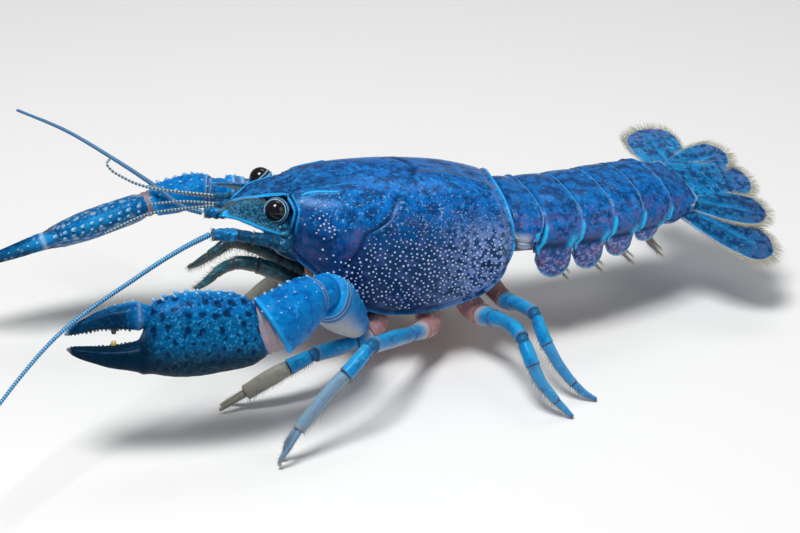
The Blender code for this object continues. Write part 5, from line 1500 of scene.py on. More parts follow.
def make_tergites():
    across = np.linspace(1, -1, TERGITE_ROWS)[:, None]
    share, side = np.abs(across), np.where(across >= 0, 1.0, -1.0)
    for i, length in enumerate(SEGMENT_LENGTHS):
        first = FIRST_TERGITE_START if i == 0 else TERGITE_REACH[0]
        last = 1.0 if i == 5 else TERGITE_REACH[1]
        place = np.linspace(first, last, TERGITE_COLUMNS)[None, :]
        grid = tergite_place(i, place, share, side)
        rim = tergite_place(i, place, np.ones_like(share), side)
        from_rim = np.linalg.norm(grid - rim, axis=-1)
        wide, long, behind = np.broadcast_arrays(share, place, (last - place) * length)
        seam = hump((wide - 0.64) / 0.045, 1) * eased(long, 0.05, 0.2)
        hinge = hump(np.hypot((wide - 0.63) / 0.06, (long - 0.93) / 0.11), 1.0) * (i < 5)
        front = 0.13 - 0.08 * eased(wide, 0.6, 0.7)
        strip = eased(wide, 0.4, 0.5) * (1 - eased(wide, 0.76, 0.84)) * hump(long - front, 0.045)
        hinge = np.maximum(hinge, strip * (i > 0))
        heights = (
            -0.4 * (1 - eased(long, 0.02, 0.2)) + 0.2 * np.sin(np.clip(long, 0, 1) * math.pi)
            + 0.1 * hump(behind, 0.2) - 0.08 * hump(behind - 0.6, 0.25)
            - 0.3 * seam + 0.4 * hinge
            + eased(wide, 0.7, 0.8) * (0.14 * hump(from_rim, 0.25) - 0.14 * hump(from_rim - 0.8, 0.4))
            + 0.08 * waves(grid, 3.0, 71 + i) + 0.03 * waves(grid, 1.0, 81 + i)
        )
        masks = {
            "side": eased(wide, 0.2, 0.5),
            "pleuron": eased(wide, 0.66, 0.74),
            "crescent": np.clip(seam * 1.2, 0, 1) * (1 - hinge) + 0.4 * (1 - eased(long, 0.05, 0.18)),
            "margin": np.clip(0.8 * hump(behind, 0.1) + hump(from_rim, 0.26) * eased(wide, 0.7, 0.8), 0, 1),
            "hinge": np.clip(hinge * 1.6, 0, 1),
            "whitish": eased(wide, 0.5, 0.58) * (1 - eased(long, 0.45, 0.8)) * (i == 0),
        }
        sheet = (pushed(grid, heights, wrapped=False), masks)
        plate = moulded(f"tergite_{i + 1}", "tergite", [sheet], wrapped=False)
        settled(thickened(plate, TERGITE_THICKNESS), [f"abdomen_segment_{i + 1}"])


def make_belly():
    places = np.linspace(0.1, 5.9, 40)
    frames = np.array(abdomen_frames())
    x, y, half = (np.interp(places, range(7), values)
                  for values in (frames[:, 0], frames[:, 1], SEGMENT_HALF_WIDTHS))
    rows = np.stack([x, y, 20.2 - 0.25 * places, half * 0.8, half * 0.42 * (1 - 0.05 * places)], axis=1)
    grid, masks, turn = limb(rows, sides=72, spacing=0.25, power=3.0, rounding=1.0)
    joints = np.mod(np.linspace(0, 6, len(grid))[:, None] + 0.5, 1) - 0.5
    masks["ridge"] = hump(joints, 0.1) * eased(-np.sin(turn), 0.3, 0.8)[None, :]
    grid = pushed(grid, 0.5 * masks["ridge"] + 0.15 * waves(grid, 1.6, 91))
    nodes = [f"abdomen_segment_{i}" for i in range(1, 7)]
    shaped("abdomen_underside", "abdomen underside", "underside", nodes, (grid, masks))


# Swimming limbs, a stalk and two branches: distance out, distance back, height, half width and half
# thickness
PLEOPOD_STALK = ((4.6, 0.0, 18.6, 0.8, 0.55), (4.9, 0.0, 15.4, 0.75, 0.5))
PLEOPOD_BRANCHES = (
    ((4.9, 0.0, 15.6, 0.5, 0.35), (5.4, 0.9, 13.0, 0.95, 0.28), (5.9, 2.6, 10.8, 0.25, 0.15)),
    ((4.8, 0.0, 15.6, 0.5, 0.35), (4.6, 1.4, 13.4, 0.8, 0.25), (4.5, 3.2, 11.6, 0.25, 0.15)),
)


def make_pleopods():
    """Two-branched swimming limbs, a pair under each of four segments, with hair along their edges."""
    surfaces = []
    roots = []
    frames = np.array(abdomen_frames())
    for i in range(1, 5):
        angle = frames[i, 2]
        middle = np.append((frames[i, :2] + frames[i + 1, :2]) / 2, 0.0)
        behind = np.array([math.cos(angle), math.sin(angle), 0])
        for side in SIDES:
            beside = np.array([-math.sin(angle), math.cos(angle), 0]) * side
            for table in (PLEOPOD_STALK, *PLEOPOD_BRANCHES):
                rows = [(*(middle + beside * out + behind * back + (0, 0, height)), width, thick)
                        for out, back, height, width, thick in table]
                blade, masks, _ = limb(rows, sides=28, spacing=0.2, up=behind, rounding=0.25)
                surfaces.append((blade, masks))
                if table is not PLEOPOD_STALK:
                    roots += hair(blade, range(4, len(blade) - 1), (0, 1, 13, 14), heading(blade) / 0.7, 1.5)
    nodes = [f"abdomen_segment_{i}" for i in range(2, 6)]
    shaped("pleopods", "abdomen underside", "underside", nodes, *surfaces)
    spikes("pleopod_hair", "bristle", nodes, roots,
           {"Thickness": 0.022, "Spread": 0.2, "Sides": 4})


# How far the root of each lobe reaches in under the last segment
ROOT_REACH = 1.6


def lobe_grid(name):
    """A lobe of the tail fan: its grid, distances and shares on it, its upper side, direction and length."""
    base, tip, across, half_width, half_thickness = FAN[name]
    along = unit(np.array(tip) - base)
    base, tip = np.array(base) - ROOT_REACH * along, np.array(tip)
    across = unit(np.array(across) - np.dot(across, along) * along)
    normal = np.cross(along, across)
    if normal[2] < 0:
        normal, across = -normal, -across
    length = np.linalg.norm(tip - base)
    outline = smooth_path(TELSON_OUTLINE if name == "telson" else LOBE_OUTLINE, 8)
    place = 1 - (1 - np.linspace(0, 1, 90)[:, None]) ** 1.5
    width = np.interp(place, outline[:, 0], outline[:, 1])
    rounded = np.sqrt(np.clip(1 - ((place - 0.9) / 0.1) ** 2, 0.0004, 1)) ** 0.6
    width = half_width * np.where(place > 0.9, width * rounded, width)
    turn = turns(96)[None, :]
    side = np.cos(turn) * width
    thick = half_thickness * (1.25 - 0.75 * place) * bent(np.sin(turn), 0.6)
    thick = thick * np.sqrt(np.clip(1 - place, 0, 1)) ** 0.4
    grid = base + along * (length * place)[..., None] + side[..., None] * across + thick[..., None] * normal
    share = np.broadcast_to(place, side.shape)
    return grid, side, width - np.abs(side), share, (np.sin(turn) > -0.05) * 1.0, along, length


# The short base of each pair of side lobes: distance along it, half width and half thickness
FAN_BASE = ((-2.6, 1.5, 1.0), (-0.4, 2.2, 1.2), (1.4, 2.4, 0.9))
# Share of a lobe's length where its middle rib ends, and where a crease crosses it
RIB_REACH = 0.72
CREASE_PLACE = {"telson": 0.66, "uropod_outer_left": 0.7, "uropod_outer_right": 0.7}


def make_lobe(name):
    grid, side, edge, share, top, along, length = lobe_grid(name)
    half_width = FAN[name][3]
    flutes = np.cos(side * 5.2) * eased(share, 0.45, 0.8) * 0.05
    rib = hump(side, 0.45) * (1 - eased(share, RIB_REACH, RIB_REACH + 0.15))
    if name == "telson":
        rib = 0.35 * hump(np.abs(side) - half_width * 0.45, 0.4) * (1 - eased(share, 0.55, 0.7))
    outer = 0.7 * hump(np.abs(side) - half_width * 0.8, 0.3) * (1 - eased(share, 0.5, 0.75))
    crease = np.zeros_like(side)
    if name in CREASE_PLACE:
        line = CREASE_PLACE[name] + 0.03 * np.cos(side * 3.2) * (name != "telson")
        crease = hump((share - line) * length, 0.28)
    heights = top * (0.28 * rib + 0.1 * outer - 0.25 * crease + flutes + 0.05 * waves(grid, 1.5, 95))
    masks = {
        "share": eased(share, 0.4, 1.0),
        "side": eased(np.abs(side) / half_width, 0.3, 0.9),
        "groove": np.clip(crease + 0.5 * hump(np.abs(side) - 0.8, 0.3) * (1 - eased(share, 0.6, 0.8)), 0, 1),
        "ridge": np.clip(rib + outer, 0, 1) * 0.8,
        # Painted shade: the left lobes face the lamps more, so they are darkened
        "dusk": float("left" in name),
        "margin": hump(np.minimum(edge, (1 - share) * length * 0.8), 0.15),
    }
    shaped(f"{name}_plate", "fan", "shell", [name], (pushed(grid, heights), masks))
    draw = np.random.default_rng(RNG_SEED + len(name))
    roots = []
    for column in (0, grid.shape[1] // 2):
        path = grid[:, column]
        lengths = lengths_along(path)
        for place in np.arange(0.3 * lengths[-1], lengths[-1], 0.06):
            row = min(int(np.searchsorted(lengths, place)), len(path) - 1)
            point = np.array([np.interp(place, lengths, path[:, axis]) for axis in range(3)])
            away = unit(path[row] - grid[row].mean(axis=0)) if row < len(path) - 2 else along
            reach = eased(share[row, 0], 0.3, 0.85)
            lie = away * (1.1 - 0.75 * reach) + along * (0.45 + 0.75 * reach)
            long = sizes().bristle_length * (0.35 + 0.65 * reach) * draw.uniform(0.75, 1.1)
            roots.append((point - lie * 0.1, lie, long, (share[row, 0], 0.1 + 0.5 * (column > 0))))
    spikes(f"{name}_fringe", "bristle", [name], roots,
           {"Thickness": 0.022, "Spread": 0.12, "Sides": 4})


def make_fan():
    for name in FAN:
        make_lobe(name)
    surfaces = []
    for side in ("left", "right"):
        inner, outer = (np.array(FAN[f"uropod_{place}_{side}"][:2]) for place in ("inner", "outer"))
        base, tip = (inner + outer) / 2
        along = unit(tip - base)
        rows = [(*(base + along * reach), width, thick) for reach, width, thick in FAN_BASE]
        grid, masks, _ = limb(rows, sides=40, spacing=0.15, rounding=0.6)
        masks["margin"] = 0.6 * hump(masks["share"] - 0.95, 0.03)
        surfaces.append((lumpy(grid, 0.08, 1.2, 97), masks))
    shaped("uropod_bases", "fan", "shell", ["abdomen_segment_6"], *surfaces)


# Claws


def chela_frame(side):
    """The wrist, and the directions along the chela, across it towards the dactyl, and out of its face."""
    wrist, along, across = (np.array(row) for row in CHELA_FRAMES[side])
    along = unit(along)
    across = unit(across - np.dot(across, along) * along)
    return wrist, along, across, np.cross(across, along)


def chela_limb(side, rows, sides, spacing, rounding):
    """A piece of a chela: its grid, how far each point is along, across and out, and its columns' angles."""
    wrist, along, across, normal = chela_frame(side)
    stations = [(*(wrist + along * s + across * u), w, t) for s, u, w, t in rows]
    grid, _, turn = limb(stations, sides=sides, spacing=spacing, up=normal, power=2.3, rounding=rounding,
                         axis=along)
    near = np.clip(1 - (grid - wrist) @ along / LEAN_REACH, 0, None)
    grid = grid + along * (PALM_LEAN[side] * near * ((grid - wrist) @ across))[..., None]
    away = grid - wrist
    return grid, away @ along, away @ across, away @ normal, turn


def row_at(s, want, column=0):
    """The row of a chela's grid that is nearest to a distance along it."""
    return int(np.argmin(np.abs(s[:, column] - want)))


def make_palm(side):
    tag = side_name(side)
    node = [f"cheliped_{tag}_palm"]
    palm, half, thick, fingers = CHELA_SIZES[side]
    low = -half * 0.52
    rows = (
        (-0.6, 0.9, half * 0.44, thick * 0.5),
        (palm * 0.11, 0.3, half * 0.8, thick * 0.92),
        (palm * 0.35, 0.0, half * 0.96, thick),
        (palm * 0.65, -0.2, half * 1.01, thick),
        (palm * 0.86, -0.45, half * 0.92, thick * 0.88),
        (palm * 0.95, -0.9, half * 0.8, thick * 0.76),
        (palm + fingers * 0.04, low + 0.35, half * 0.48, thick * 0.64),
        (palm + fingers * 0.14, low, half * 0.36, thick * 0.58),
        (palm + fingers * 0.5, low + 0.2, half * 0.25, thick * 0.44),
        (palm + fingers * 0.85, low + 1.0, half * 0.13, thick * 0.26),
        (palm + fingers, low + 1.6, 0.22, 0.22),
    )
    grid, s, u, n, turn = chela_limb(side, rows, 116, 0.2, 1.3)
    wide = u / half
    on_finger = eased(s, palm * 0.92, palm + fingers * 0.15)
    draw = np.random.default_rng(RNG_SEED + side)
    on_palm = (s > palm * 0.06) & (s < palm * 0.95)
    upper = on_palm & (u > half * 0.05) & (u < half * 0.86)
    lower = on_palm & (u <= half * 0.05) & (u > -half * 0.9)
    shaken = grid + 0.25 * np.stack([waves(grid, 0.9, seed) for seed in (103, 104, 105)], axis=-1)
    pits = np.zeros(s.shape)
    for spread, radius, allowed in ((1.8, 0.62, upper), (1.1, 0.28, upper), (1.3, 0.38, lower)):
        found = spots_on(grid, sizes().pits, spread, draw, allowed)
        pits = np.maximum(pits, dents(shaken, found, radius))
    ridges = np.maximum(np.cos(turn * 5)[None, :], -0.4) * on_finger * 0.09
    collar = hump(s + 0.4, 0.5)
    heights = (
        -0.1 * pits + ridges + 0.14 * collar - 0.12 * hump(s - 0.7, 0.5)
        + 0.1 * waves(grid, 2.6, 101) + 0.035 * waves(grid, 0.9, 102)
    )
    near = side == LEFT
    masks = {
        "middle": np.maximum(1 - eased(wide, 0.15, 0.7), 0.0 if near else 0.4) * (1 - on_finger),
        "low": (1 - eased(wide, -0.75, -0.1)) * (1 - on_finger),
        "finger": eased(s, palm * 0.84, palm + fingers * 0.05) * (1 - 0.5 * eased(wide, -0.3, 0.3)),
        "pit": eased(pits, 0.3, 0.6) * (0.95 if near else 0.25),
        "speck": eased(pits, 0.4, 0.8) * (0.0 if near else 0.9),
        "rim": np.clip(0.15 * collar + hump(wide - 1.0, 0.05) * (1 - on_finger) * 0.6, 0, 1),
        "pale": eased(s, palm + fingers * 0.93, palm + fingers),
        "cream": (1 - eased(n / thick, -0.15, 0.1)) * (1 - on_finger) * (0.5 if near else 0.0),
    }
    shaped(f"claw_{tag}_palm", "claw", "claw", node, (pushed(grid, heights), masks))
    lean = 0.75 * chela_frame(side)[1]
    roots = []
    for second, count, column, size in ((0, 10, 0, 0.85), (1, 9, 6, 0.6)):
        for step in range(count):
            row = row_at(s, palm * (0.07 + 0.84 * (step + 0.25 * second) / (count - 1 + second)))
            roots.append(root(grid, row, column, lean, size * draw.uniform(0.85, 1.15), sunk=0.3))
    spikes(f"claw_{tag}_tubercles", "spine", node, roots,
           {"Thickness": 0.5, "Tip": 0.45, "Sides": 12, "Rings": 4})
    make_teeth(f"claw_{tag}_finger_teeth", grid, s, side, 0, node, "large tooth")


# Place of the large tooth in its row, and its length
BIG_TOOTH = 4
BIG_TOOTH_LENGTH = 0.95


def make_teeth(name, grid, s, side, column, node, look):
    """Low blunt teeth along a finger's cutting edge, the fifth of them large."""
    palm, _, _, fingers = CHELA_SIZES[side]
    draw = np.random.default_rng(RNG_SEED + column)
    rows = [row_at(s, palm + fingers * share, column) for share in np.linspace(0.2, 0.94, 16)]
    roots = [root(grid, row, column, 0.0, 0.42 * draw.uniform(0.8, 1.15), sunk=0.2) for row in rows]
    shape = {"Thickness": 0.6, "Tip": 0.55, "Sides": 10, "Rings": 3}
    spikes(name, "tooth", node, roots, shape)
    large = root(grid, rows[BIG_TOOTH], column, 0.0, BIG_TOOTH_LENGTH, sunk=0.2)
    spikes(f"{name}_large", look, node, [large], shape)


def make_dactyl(side):
    tag = side_name(side)
    node = [f"cheliped_{tag}_dactyl"]
    palm, half, thick, fingers = CHELA_SIZES[side]
    high = half * 0.45
    rows = (
        (palm - 1.4, high, half * 0.22, thick * 0.4),
        (palm + fingers * 0.07, high, half * 0.32, thick * 0.54),
        (palm + fingers * 0.16, high, half * 0.33, thick * 0.56),
        (palm + fingers * 0.5, high - 0.3, half * 0.24, thick * 0.42),
        (palm + fingers * 0.85, high - 1.5, half * 0.13, thick * 0.26),
        (palm + fingers * 1.02, high - 2.4, 0.22, 0.22),
    )
    grid, s, _, _, turn = chela_limb(side, rows, 72, 0.16, 0.6)
    draw = np.random.default_rng(RNG_SEED + 5 + side)
    pits = dents(grid, spots_on(grid, 26, 1.1, draw, (s < palm + fingers * 0.8) & (s > palm + 0.8)), 0.22)
    ridges = np.maximum(np.cos(turn * 5)[None, :], -0.4) * eased(s, palm + 1, palm + 3) * 0.09
    ring = hump(s - palm - 0.9, 0.35)
    upper = np.cos(turn)[None, :]
    near = side == LEFT
    masks = {
        "finger": eased(s, palm, palm + fingers * 0.35) * (0.86 - 0.28 * eased(upper, 0.2, 0.8)),
        "rim": hump(upper - 1, 0.1) * (1 - eased(s, palm, palm + fingers * 0.7)) * 0.5,
        "pit": 0.7 * pits * near,
        "speck": 0.7 * pits * (not near),
        "pale": np.clip(ring * (0.3 if near else 0.9)
                        + eased(s, palm + fingers * 0.95, palm + fingers * 1.02), 0, 1),
    }
    heights = ridges - 0.12 * pits + 0.12 * ring + 0.05 * waves(grid, 1.2, 111)
    shaped(f"claw_{tag}_dactyl", "claw", "claw", node, (pushed(grid, heights), masks))
    lean = 0.6 * chela_frame(side)[1]
    roots = [root(grid, row_at(s, palm + fingers * share), 0, lean, 0.55 - 0.05 * step, sunk=0.2)
             for step, share in enumerate(np.linspace(0.12, 0.6, 5))]
    spikes(f"claw_{tag}_dactyl_tubercles", "spine", node, roots,
           {"Thickness": 0.5, "Tip": 0.45, "Sides": 10, "Rings": 3})
    make_teeth(f"claw_{tag}_dactyl_teeth", grid, s, side, 36, node, "tooth")


# Shares of the length of each arm joint where dark folds run round it
ARM_FOLDS = {"ischium": (0.5, 0.93), "merus": (0.08, 0.84, 0.91), "carpus": (0.06, 0.13)}
# Columns of the rows of tubercles along the arm, out of 84, and the length of those in each
ARM_TUBERCLES = ((4, 0.4), (10, 0.5), (18, 0.65), (26, 0.5), (32, 0.4))


def make_arm(side):
    """Ischium, merus and carpus of a cheliped, and the round joints between them."""
    tag = side_name(side)
    for name, stations in ARMS[side].items():
        grid, masks, turn = limb(stations, sides=84, spacing=0.16, power=2.3, neck=0.94, cuff=1.03,
                                 rounding=0.55)
        share, under = masks["share"], masks["under"]
        node = [f"cheliped_{tag}_{name}"]
        draw = np.random.default_rng(RNG_SEED + len(name))
        inside = (share > 0.12) & (share < 0.9) & (under < 0.5)
        pits = dents(grid, spots_on(grid, 34, 1.2, draw, inside), 0.25)
        collar = hump(share - 0.94, 0.04)
        marks = {
            "low": 0.35 * under,
            "pit": 0.3 * pits,
            # Cyan at the collar, and painted light over the whole merus to lighten it where it lies in shade
            "rim": np.maximum(0.7 * collar, 0.35 * (name == "merus")),
            "bright": 0.5 if name == "ischium" else 1.0,
            "cream": under**1.5 * (1 - eased(share, 0.7, 0.9)) * (0.9 if name == "merus" else 0.1),
            "joint": sum(hump(share - place, 0.014) for place in ARM_FOLDS[name]),
            "pale": sum(0.8 * hump(share - place - 0.03, 0.01) for place in ARM_FOLDS[name]),
            "middle": 0.5 * (name == "ischium"),
        }
        furrow = hump(np.sin(turn) - 0.8, 0.15)[None, :] * (name == "carpus") * eased(share, 0.2, 0.4)
        heights = (-0.06 * pits - 0.2 * marks["joint"] + 0.15 * collar
                   - 0.3 * furrow * (1 - eased(share, 0.7, 0.9))
                   + 0.07 * (name == "merus") * under * np.sin(55 * share)
                   + 0.1 * waves(grid, 2.2, 121) + 0.05 * waves(grid, 0.7, 122))
        shaped(f"claw_{tag}_{name}", "claw", "claw", node, (pushed(grid, heights), marks))
        if name == "ischium":
            continue
        lean = 0.6 * heading(grid)
        roots = []
        for step, want in enumerate(np.linspace(0.18, 0.94, 14)):
            for column, long in ARM_TUBERCLES[step % 2::2]:
                long = long * draw.uniform(0.75, 1.2) * (1.0 if side == LEFT else 1.35)
                roots.append(root(grid, int(want * (len(grid) - 1)), column, lean, long, sunk=0.25))
        spikes(f"claw_{tag}_{name}_spines", "spine", node, roots,
               {"Thickness": 0.5, "Tip": 0.35, "Sides": 10, "Rings": 4})
    surfaces = []
    for near, far in (("ischium", "merus"), ("merus", "carpus")):
        last, first = np.array(ARMS[side][near][-1]), np.array(ARMS[side][far][0])
        surfaces.append((ball((last[:3] + first[:3]) / 2, 0.97 * min(last[4], first[4])), {"bright": 0.8}))
    shaped(f"claw_{tag}_joints", "claw", "claw", [f"cheliped_{tag}_merus"], *surfaces)


def make_membrane(side):
    """The soft folded skin between carpus and palm."""
    tag = side_name(side)
    wrist, along, across, normal = chela_frame(side)
    _, half, thick, _ = CHELA_SIZES[side]
    *carpus, width, depth = ARMS[side]["carpus"][-1]
    start = carpus - unit(wrist - carpus) * 1.2
    rows = [(*start, width * 0.85, depth * 0.85), (*((start + wrist) / 2), half * 0.6, thick * 0.8),
            (*(wrist + along * 1.2 - across * 0.3), half * 0.6, thick * 0.84)]
    grid, masks, _ = limb(rows, sides=48, spacing=0.12, up=normal, rounding=0.3)
    folds = 0.12 * np.sin(masks["share"] * 20) + 0.06 * waves(grid, 0.9, 131)
    shaped(f"claw_{tag}_membrane", "membrane", "claw", [f"cheliped_{tag}_carpus"],
           (pushed(grid, folds), masks))


def make_claws():
    for side in SIDES:
        make_palm(side)
        make_dactyl(side)
        make_arm(side)
        make_membrane(side)


# Walking legs


# Where the joints of each piece start and end, in shares of its length, and the mask that a joint wears
UPPER_CUTS = ((0.0, 0.26, "salmon"), (0.24, 0.44, "cream"), (0.42, 1.0, None))
LOWER_CUTS = {
    "leg_1": ((0.0, 0.25), (0.24, 0.72)),
    "leg_2": ((0.0, 0.26), (0.25, 0.74)),
    "leg_3": ((0.0, 0.3), (0.28, 0.76), (0.74, 1.0)),
    "leg_4": ((0.0, 0.3), (0.28, 0.74), (0.72, 1.0)),
}
# Hair grows only above this height, so that none goes into the floor
HAIR_FLOOR = 1.0
# The two small fingers of the first legs: how far they spread, and how olive they are
PINCERS = {"leg_1": (1.0, 0.85), "leg_2": (0.85, 0.4)}
# How olive the lower part of a shin is, and which way its upper side faces
SHIN_GREY = {"leg_1": 0.85, "leg_2": 0.45}
SHIN_UP = (0.3, 0.2, 1)


def leg_marks(masks, turn):
    masks["joint"] = masks["joint"] ** 3
    masks["edge"] = 0.6 * hump(masks["share"] - 0.96, 0.02)
    # A painted highlight along the upper side of each joint
    masks["bright"] = hump(np.sin(turn) - 1, 0.25)[None, :]


def leg_upper(name, side, stations):
    surfaces = []
    for start, end, mark in UPPER_CUTS:
        grid, masks, turn = limb(stations, start, end, spacing=0.14, up=(0, 0.1, 1), neck=0.93, cuff=1.07,
                                 rounding=0.28)
        leg_marks(masks, turn)
        if mark:
            masks[mark] = 0.85 * (1 - eased(masks["share"], 0.1, 0.7) * (mark == "cream"))
        surfaces.append((lumpy(grid, 0.06, 1.4, 141), masks))
    tag = f"{name}_{side_name(side)}"
    shaped(f"{tag}_thigh", "leg", "leg", [f"{tag}_upper"], *surfaces)


def leg_lower(name, side, stations, knee):
    """The lower piece of a leg from its knee, whose hair roots it gives back."""
    centre = (np.array(knee[:3]) + np.array(stations[0][:3])) / 2
    surfaces = [(ball(centre, 0.93 * min(knee[3:])), {"joint": 0.75})]
    roots = []
    for index, (start, end) in enumerate(LOWER_CUTS[name]):
        grid, masks, turn = limb(stations, start, end, sides=32, spacing=0.14, up=SHIN_UP, neck=0.93,
                                 cuff=1.07, floor=0.0, rounding=0.28)
        leg_marks(masks, turn)
        masks["grey"] = SHIN_GREY.get(name, 0.1) * (index > 0)
        grid = lumpy(grid, 0.05, 1.2, 151)
        surfaces.append((grid, masks))
        roots += hair(grid, range(4, len(grid) - 3, 3), (20, 24, 28), 0.9 * heading(grid), 0.9)
    if name in PINCERS:
        spread, grey = PINCERS[name]
        path = resampled(stations, LOWER_CUTS[name][-1][1] - 0.03, 1.0, 0.2, least=8)
        across, _ = frames_along(path, SHIN_UP)
        share = np.linspace(0, 1, len(path))
        for way in (-1, 1):
            offset = way * (0.3 + spread * np.sin(share * math.pi * 0.62)) * (0.55 + 0.45 * share)
            finger = np.column_stack([path[:, :3] + across * offset[:, None], 0.52 * (1 - 0.6 * share),
                                      0.62 * (1 - 0.55 * share)])
            grid, masks, _ = limb(finger, sides=24, spacing=0.12, up=SHIN_UP, rounding=0.3, floor=0.0)
            masks["joint"] = masks["joint"] * (masks["share"] < 0.5)
            masks.update(grey=grey, cream=eased(masks["share"], 0.8, 1.0) * 0.6)
            surfaces.append((grid, masks))
            roots += hair(grid, range(3, len(grid) - 2, 2), (0, 6, 12, 18), heading(grid), 0.6)
    tag = f"{name}_{side_name(side)}"
    shaped(f"{tag}_shin", "leg", "leg", [f"{tag}_lower"], *surfaces)
    return roots


def make_legs():
    roots = []
    for (name, side), (upper, lower) in LEGS.items():
        leg_upper(name, side, upper)
        roots += leg_lower(name, side, lower, upper[-1])
    nodes = [f"{name}_{side_name(side)}_lower" for name, side in LEGS]
    spikes("leg_hair", "hair", nodes, roots, {"Thickness": 0.045, "Spread": 0.3, "Sides": 5})


def make_underside():
    grid, masks, turn = limb(THORAX, sides=80, spacing=0.25, power=3.0, rounding=1.0)
    below = eased(-np.sin(turn), 0.2, 0.8)[None, :]
    plates = hump(np.mod(grid[..., 0] + 2.6, 5.2) - 2.6, 0.5) * below
    middle = hump(grid[..., 1], 0.7) * below
    masks["groove"] = np.clip(plates + middle, 0, 1)
    grid = pushed(grid, -0.5 * plates - 0.4 * middle + 0.15 * waves(grid, 2.0, 161))
    shaped("thorax_plates", "underside skin", "underside", ["thorax_underside"], (grid, masks))


# Stage


def make_stage():
    corners = [(x * FLOOR_REACH, y * FLOOR_REACH, 0) for x, y in ((-1, -1), (1, -1), (1, 1), (-1, 1))]
    floor = bpy.data.meshes.new("floor")
    floor.from_pydata(corners, [], [(0, 1, 2, 3)])
    pale = bpy.data.materials.new("studio floor")
    pale.use_nodes = True
    shader = pale.node_tree.nodes["Principled BSDF"]
    shader.inputs["Base Color"].default_value = (0.78, 0.78, 0.77, 1)
    shader.inputs["Roughness"].default_value = 0.7
    floor.materials.append(pale)
    for name, place, size, power in LAMPS:
        data = bpy.data.lights.new(name, "AREA")
        data.energy = power
        data.size = size
        lamp = placed(name, data)
        lamp.location = place
        lamp.rotation_euler = (Vector(LAMPS_AIM) - Vector(place)).to_track_quat("-Z", "Y").to_euler()
    lens = bpy.data.cameras.new("camera")
    lens.lens = CAMERA_LENS
    lens.sensor_width = 36.0
    lens.clip_start = 0.01
    camera = placed("camera", lens)
    camera.location = Vector((np.array(CAMERA_PLACE) + SHIFT) * MM)
    a, e = math.radians(CAMERA_AZIMUTH), math.radians(CAMERA_ELEVATION)
    back = Vector((math.sin(a) * math.cos(e), -math.cos(a) * math.cos(e), math.sin(e)))
    camera.rotation_euler = back.to_track_quat("Z", "Y").to_euler()
    scene = bpy.context.scene
    scene.camera = camera
    scene.view_settings.view_transform = "Standard"
    scene.world = bpy.data.worlds.new("studio")
    scene.world.use_nodes = True
    sky = scene.world.node_tree.nodes["Background"]
    sky.inputs["Color"].default_value = (0.95, 0.97, 1.0, 1)
    sky.inputs["Strength"].default_value = 0.22
    placed("studio_floor", floor)


# Operators, one for each piece or group of like pieces


class MakeCarapace(bpy.types.Operator):
    """Builds the carapace with its groove, ridges and tubercles, and the rostrum."""

    bl_idname = "crayfish.carapace"
    bl_label = "Carapace and rostrum"

    def execute(self, context):
        make_carapace()
        make_rostrum()
        return {"FINISHED"}


class MakeEyes(bpy.types.Operator):
    """Builds the face, the eyes and their stalks."""

    bl_idname = "crayfish.eyes"
    bl_label = "Face and eyes"

    def execute(self, context):
        make_face()
        make_eyes()
        return {"FINISHED"}


class MakeFeelers(bpy.types.Operator):
    """Builds the antennal scales, the long ringed feelers and the short ones."""

    bl_idname = "crayfish.feelers"
    bl_label = "Feelers"

    def execute(self, context):
        make_scales()
        make_peduncles()
        make_whips()
        make_antennules()
        return {"FINISHED"}


class MakeMouthparts(bpy.types.Operator):
    """Builds the jointed and haired outer mouthparts."""

    bl_idname = "crayfish.mouthparts"
    bl_label = "Mouthparts"

    def execute(self, context):
        make_maxillipeds()
        return {"FINISHED"}


class MakeAbdomen(bpy.types.Operator):
    """Builds the overlapping plates of the abdomen, its underside and swimming limbs."""

    bl_idname = "crayfish.abdomen"
    bl_label = "Abdomen"

    def execute(self, context):
        make_tergites()
        make_belly()
        make_pleopods()
        return {"FINISHED"}


class MakeFan(bpy.types.Operator):
    """Builds the five lobes of the tail fan with their fringe of bristles."""

    bl_idname = "crayfish.fan"
    bl_label = "Tail fan"

    def execute(self, context):
        make_fan()
        return {"FINISHED"}


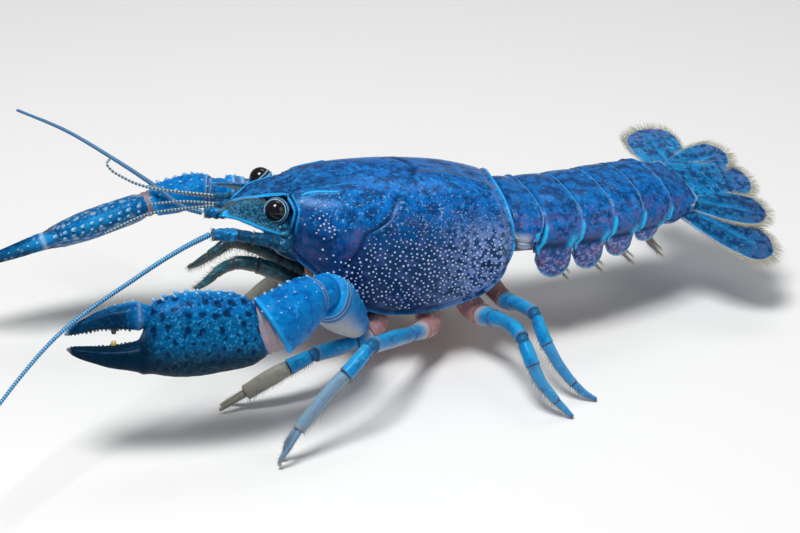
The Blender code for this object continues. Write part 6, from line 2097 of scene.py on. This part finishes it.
class MakeClaws(bpy.types.Operator):
    """Builds both claws with their arms, pits, tubercles and teeth."""

    bl_idname = "crayfish.claws"
    bl_label = "Claws"

    def execute(self, context):
        make_claws()
        return {"FINISHED"}


class MakeLegs(bpy.types.Operator):
    """Builds the eight walking legs and the plates between them."""

    bl_idname = "crayfish.legs"
    bl_label = "Legs and underside"

    def execute(self, context):
        make_legs()
        make_underside()
        return {"FINISHED"}


class MakeStage(bpy.types.Operator):
    """Sets the pale floor, the soft lights and the camera."""

    bl_idname = "crayfish.stage"
    bl_label = "Stage"

    def execute(self, context):
        make_stage()
        return {"FINISHED"}


OPERATORS = (MakeCarapace, MakeEyes, MakeFeelers, MakeMouthparts, MakeAbdomen, MakeFan, MakeClaws,
             MakeLegs, MakeStage)


class CrayfishPanel(bpy.types.Panel):
    """Lists the steps and the values that they use."""

    bl_idname = "VIEW3D_PT_crayfish"
    bl_label = "Everglades crayfish"
    bl_space_type = "VIEW_3D"
    bl_region_type = "UI"
    bl_category = "Crayfish"

    def draw(self, context):
        for settings in (context.scene.crayfish_sizes, context.scene.crayfish_colours):
            for name in settings.bl_rna.properties.keys():
                if name not in ("rna_type", "name"):
                    self.layout.prop(settings, name)
        for operator in OPERATORS:
            self.layout.operator(operator.bl_idname)


CLASSES = (Sizes, Colours, *OPERATORS, CrayfishPanel)


def register():
    for item in CLASSES:
        bpy.utils.register_class(item)
    bpy.types.Scene.crayfish_sizes = PointerProperty(type=Sizes)
    bpy.types.Scene.crayfish_colours = PointerProperty(type=Colours)


def unregister():
    del bpy.types.Scene.crayfish_colours
    del bpy.types.Scene.crayfish_sizes
    for item in reversed(CLASSES):
        bpy.utils.unregister_class(item)


def main():
    register()
    bpy.ops.crayfish.carapace()
    bpy.ops.crayfish.eyes()
    bpy.ops.crayfish.feelers()
    bpy.ops.crayfish.mouthparts()
    bpy.ops.crayfish.abdomen()
    bpy.ops.crayfish.fan()
    bpy.ops.crayfish.claws()
    bpy.ops.crayfish.legs()
    bpy.ops.crayfish.stage()


if __name__ == "__main__":
    main()
